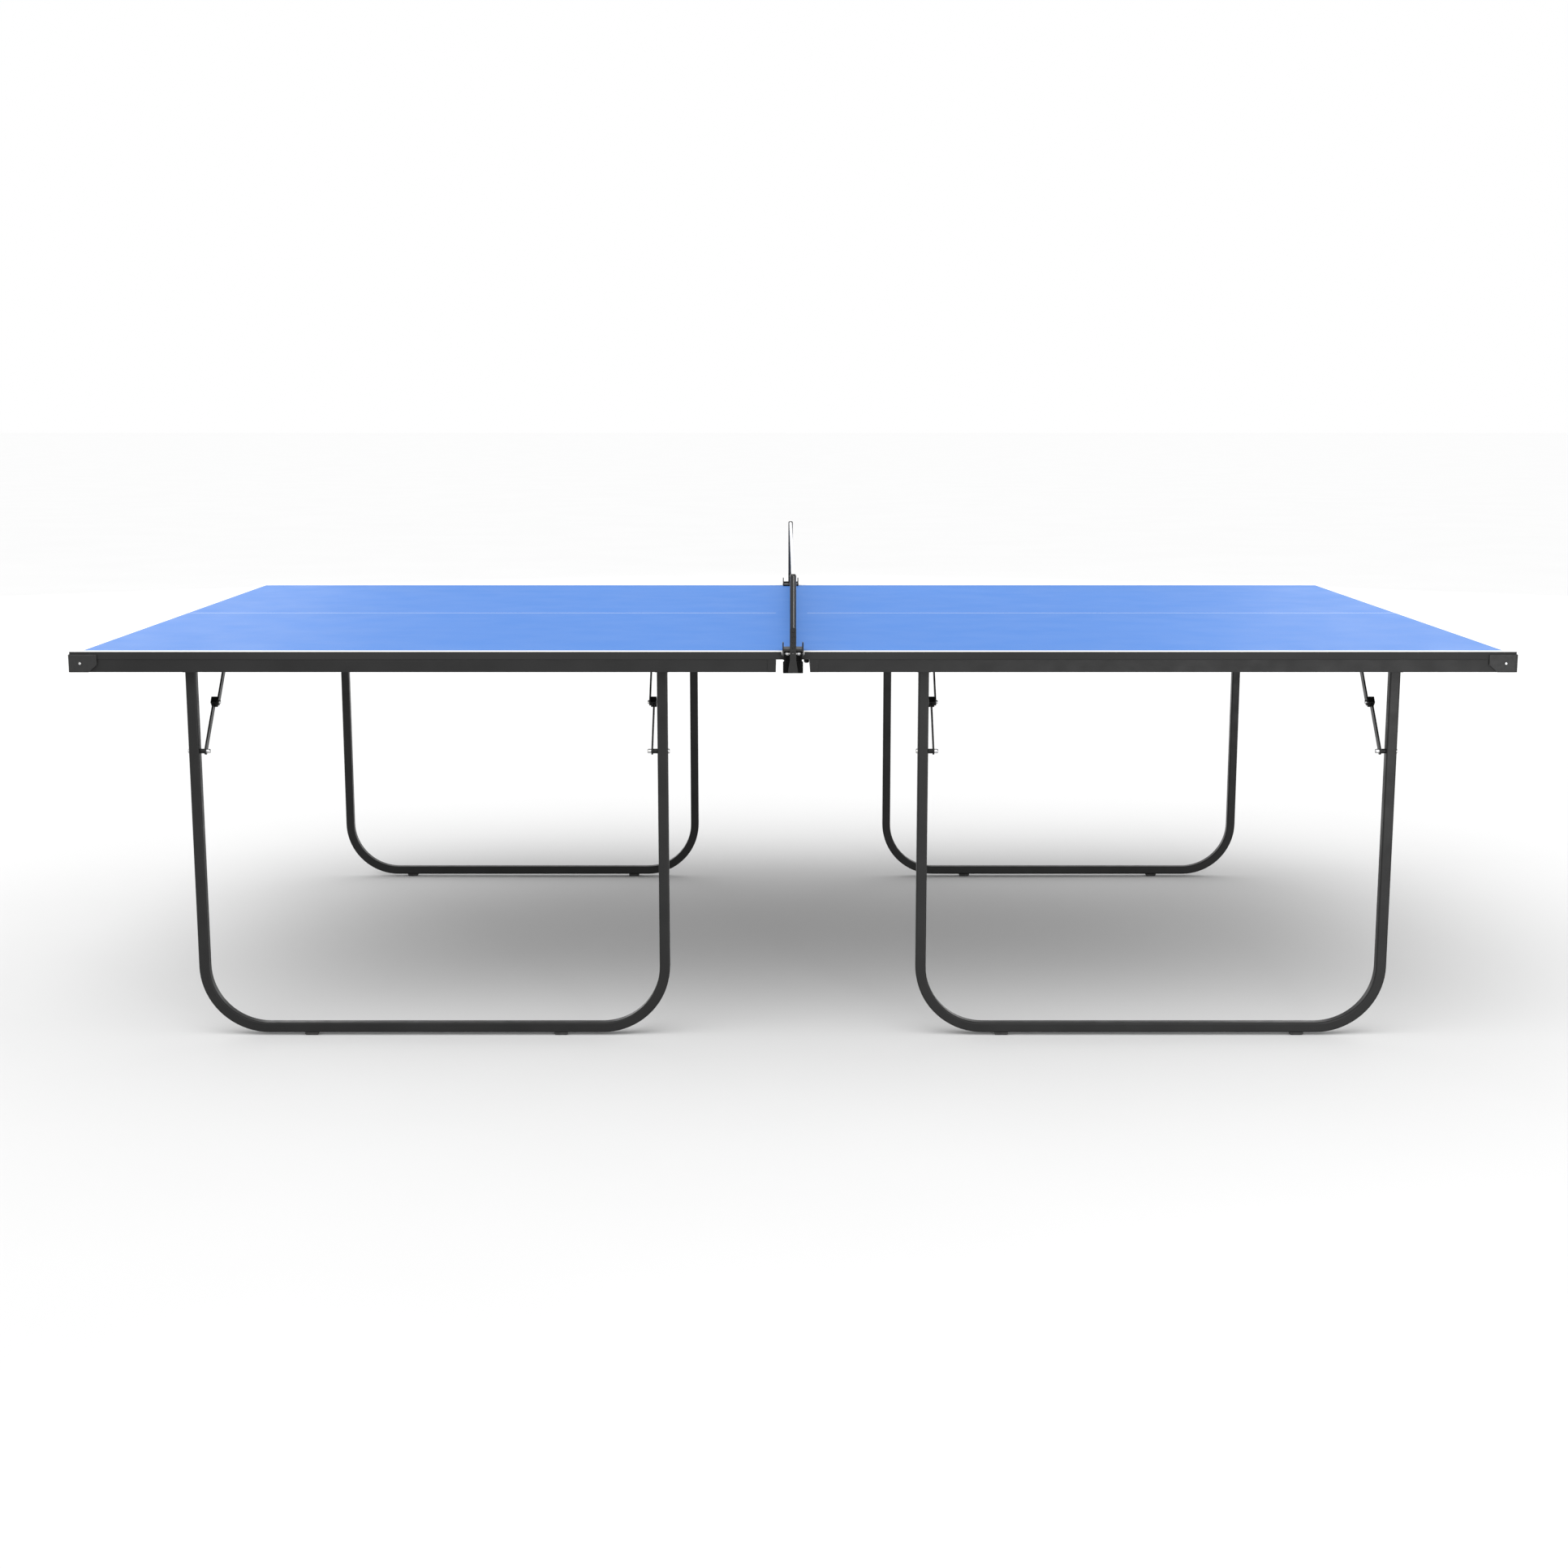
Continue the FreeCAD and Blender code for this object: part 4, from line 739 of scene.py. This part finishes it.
sewing, given, result = geometry_tree("stitch_rows", [
    ("Spacing", "NodeSocketFloat", 0.004), ("Stitch size", "NodeSocketVector", None),
    ("Material", "NodeSocketMaterial", None)])
line = sewing.nodes.new("GeometryNodeMeshToCurve")
places = sewing.nodes.new("GeometryNodeCurveToPoints")
places.mode = "LENGTH"
thread = sewing.nodes.new("GeometryNodeMeshUVSphere")
thread.inputs["Segments"].default_value = 6
thread.inputs["Rings"].default_value = 4
sew = sewing.nodes.new("GeometryNodeInstanceOnPoints")
realize = sewing.nodes.new("GeometryNodeRealizeInstances")
smooth = sewing.nodes.new("GeometryNodeSetShadeSmooth")
finish = sewing.nodes.new("GeometryNodeSetMaterial")
wire(sewing,
     (given.outputs["Geometry"], line.inputs["Mesh"]), (line.outputs["Curve"], places.inputs["Curve"]),
     (given.outputs["Spacing"], places.inputs["Length"]), (places.outputs["Points"], sew.inputs["Points"]),
     (thread.outputs["Mesh"], sew.inputs["Instance"]), (given.outputs["Stitch size"], sew.inputs["Scale"]),
     (sew.outputs["Instances"], realize.inputs["Geometry"]),
     (realize.outputs["Geometry"], smooth.inputs["Geometry"]),
     (smooth.outputs["Geometry"], finish.inputs["Geometry"]),
     (given.outputs["Material"], finish.inputs["Material"]),
     (finish.outputs["Geometry"], result.inputs["Geometry"]))
rows = [(sign * face_at(height), height) for sign in (-1, 1) for height in STITCH_ROWS]
row_points = [on_tape(index, x, z) for x, z in rows for index in range(1, tape_count)]
row_edges = [(a, a + 1) for a in range(len(row_points) - 1) if (a + 1) % (tape_count - 1)]
row_mesh = bpy.data.meshes.new("tape_rows")
row_mesh.from_pydata(row_points, row_edges, [])
thread_white = yarn("white_sewing_thread", (0.78, 0.78, 0.76), (0.88, 0.88, 0.86), 3000)
stitches = grow("tape_stitches", row_mesh, sewing,
                {"Spacing": STITCH_SPACING,
                 "Stitch size": (STITCH_RADIUS, STITCH_LENGTH / 2, STITCH_RADIUS),
                 "Material": thread_white}, "net_set")

# ------------------------------------------------------------------ floor and light
# Plain white studio: a pale floor that runs off to nothing, an even white surround,
# a very broad soft light above, a little to the left and to the front, two wide
# panels behind, and a small one low in front for the posts' gloss.
FLOOR_REACH = 60
FLOOR_FRONT = -40
FLOOR_BACK = 80
BELOW_FEET = 0.0005
floor_paint, tree, shader = new_material("studio_floor")
tree.links.new(tint(tree, grain(tree, 1.5, 3), (0.685, 0.685, 0.685), (0.695, 0.695, 0.695)),
               shader.inputs["Base Color"])
shader.inputs["Roughness"].default_value = 0.9
shader.inputs["Specular IOR Level"].default_value = 0.0
floor_mesh = bpy.data.meshes.new("floor")
floor_mesh.from_pydata([(-FLOOR_REACH, FLOOR_FRONT, 0), (FLOOR_REACH, FLOOR_FRONT, 0),
                        (FLOOR_REACH, FLOOR_BACK, 0), (-FLOOR_REACH, FLOOR_BACK, 0)], [], [(0, 1, 2, 3)])
floor = link_object("floor", floor_mesh, floor_paint)
floor.location.z = -BELOW_FEET

world = bpy.data.worlds.new("studio")
world.use_nodes = True
world.node_tree.nodes["Background"].inputs["Color"].default_value = (1, 1, 1, 1)
world.node_tree.nodes["Background"].inputs["Strength"].default_value = 1.0
bpy.context.scene.world = world
bpy.context.scene.view_settings.view_transform = "Standard"


def soft_light(name, kind, energy, place, aim, size):
    """One light: a sun with an angular size, or a rectangular panel that looks at a point."""
    lamp = bpy.data.objects.new(name, bpy.data.lights.new(name, kind))
    lamp.data.energy = energy
    if kind == "SUN":
        lamp.data.angle = size
    else:
        lamp.data.shape = "RECTANGLE"
        lamp.data.size, lamp.data.size_y = size
    lamp.location = place
    lamp.rotation_euler = (Vector(aim) - Vector(place)).to_track_quat("-Z", "Y").to_euler()
    bpy.context.collection.objects.link(lamp)


soft_light("key", "SUN", 1.55, (-0.25, -0.58, 1.0), (0, 0, 0), math.radians(62))
for side_sign in (-1, 1):
    soft_light(f"back_panel_{side_sign}", "AREA", 150, (side_sign * 5.5, 8.4, 2.2),
               (side_sign * 1.6, 0, 0.76), (5.4, 4.2))
soft_light("strip", "AREA", 48, (1.75, -4.6, 0.48), (0, -0.77, 0.6), (0.5, 0.8))
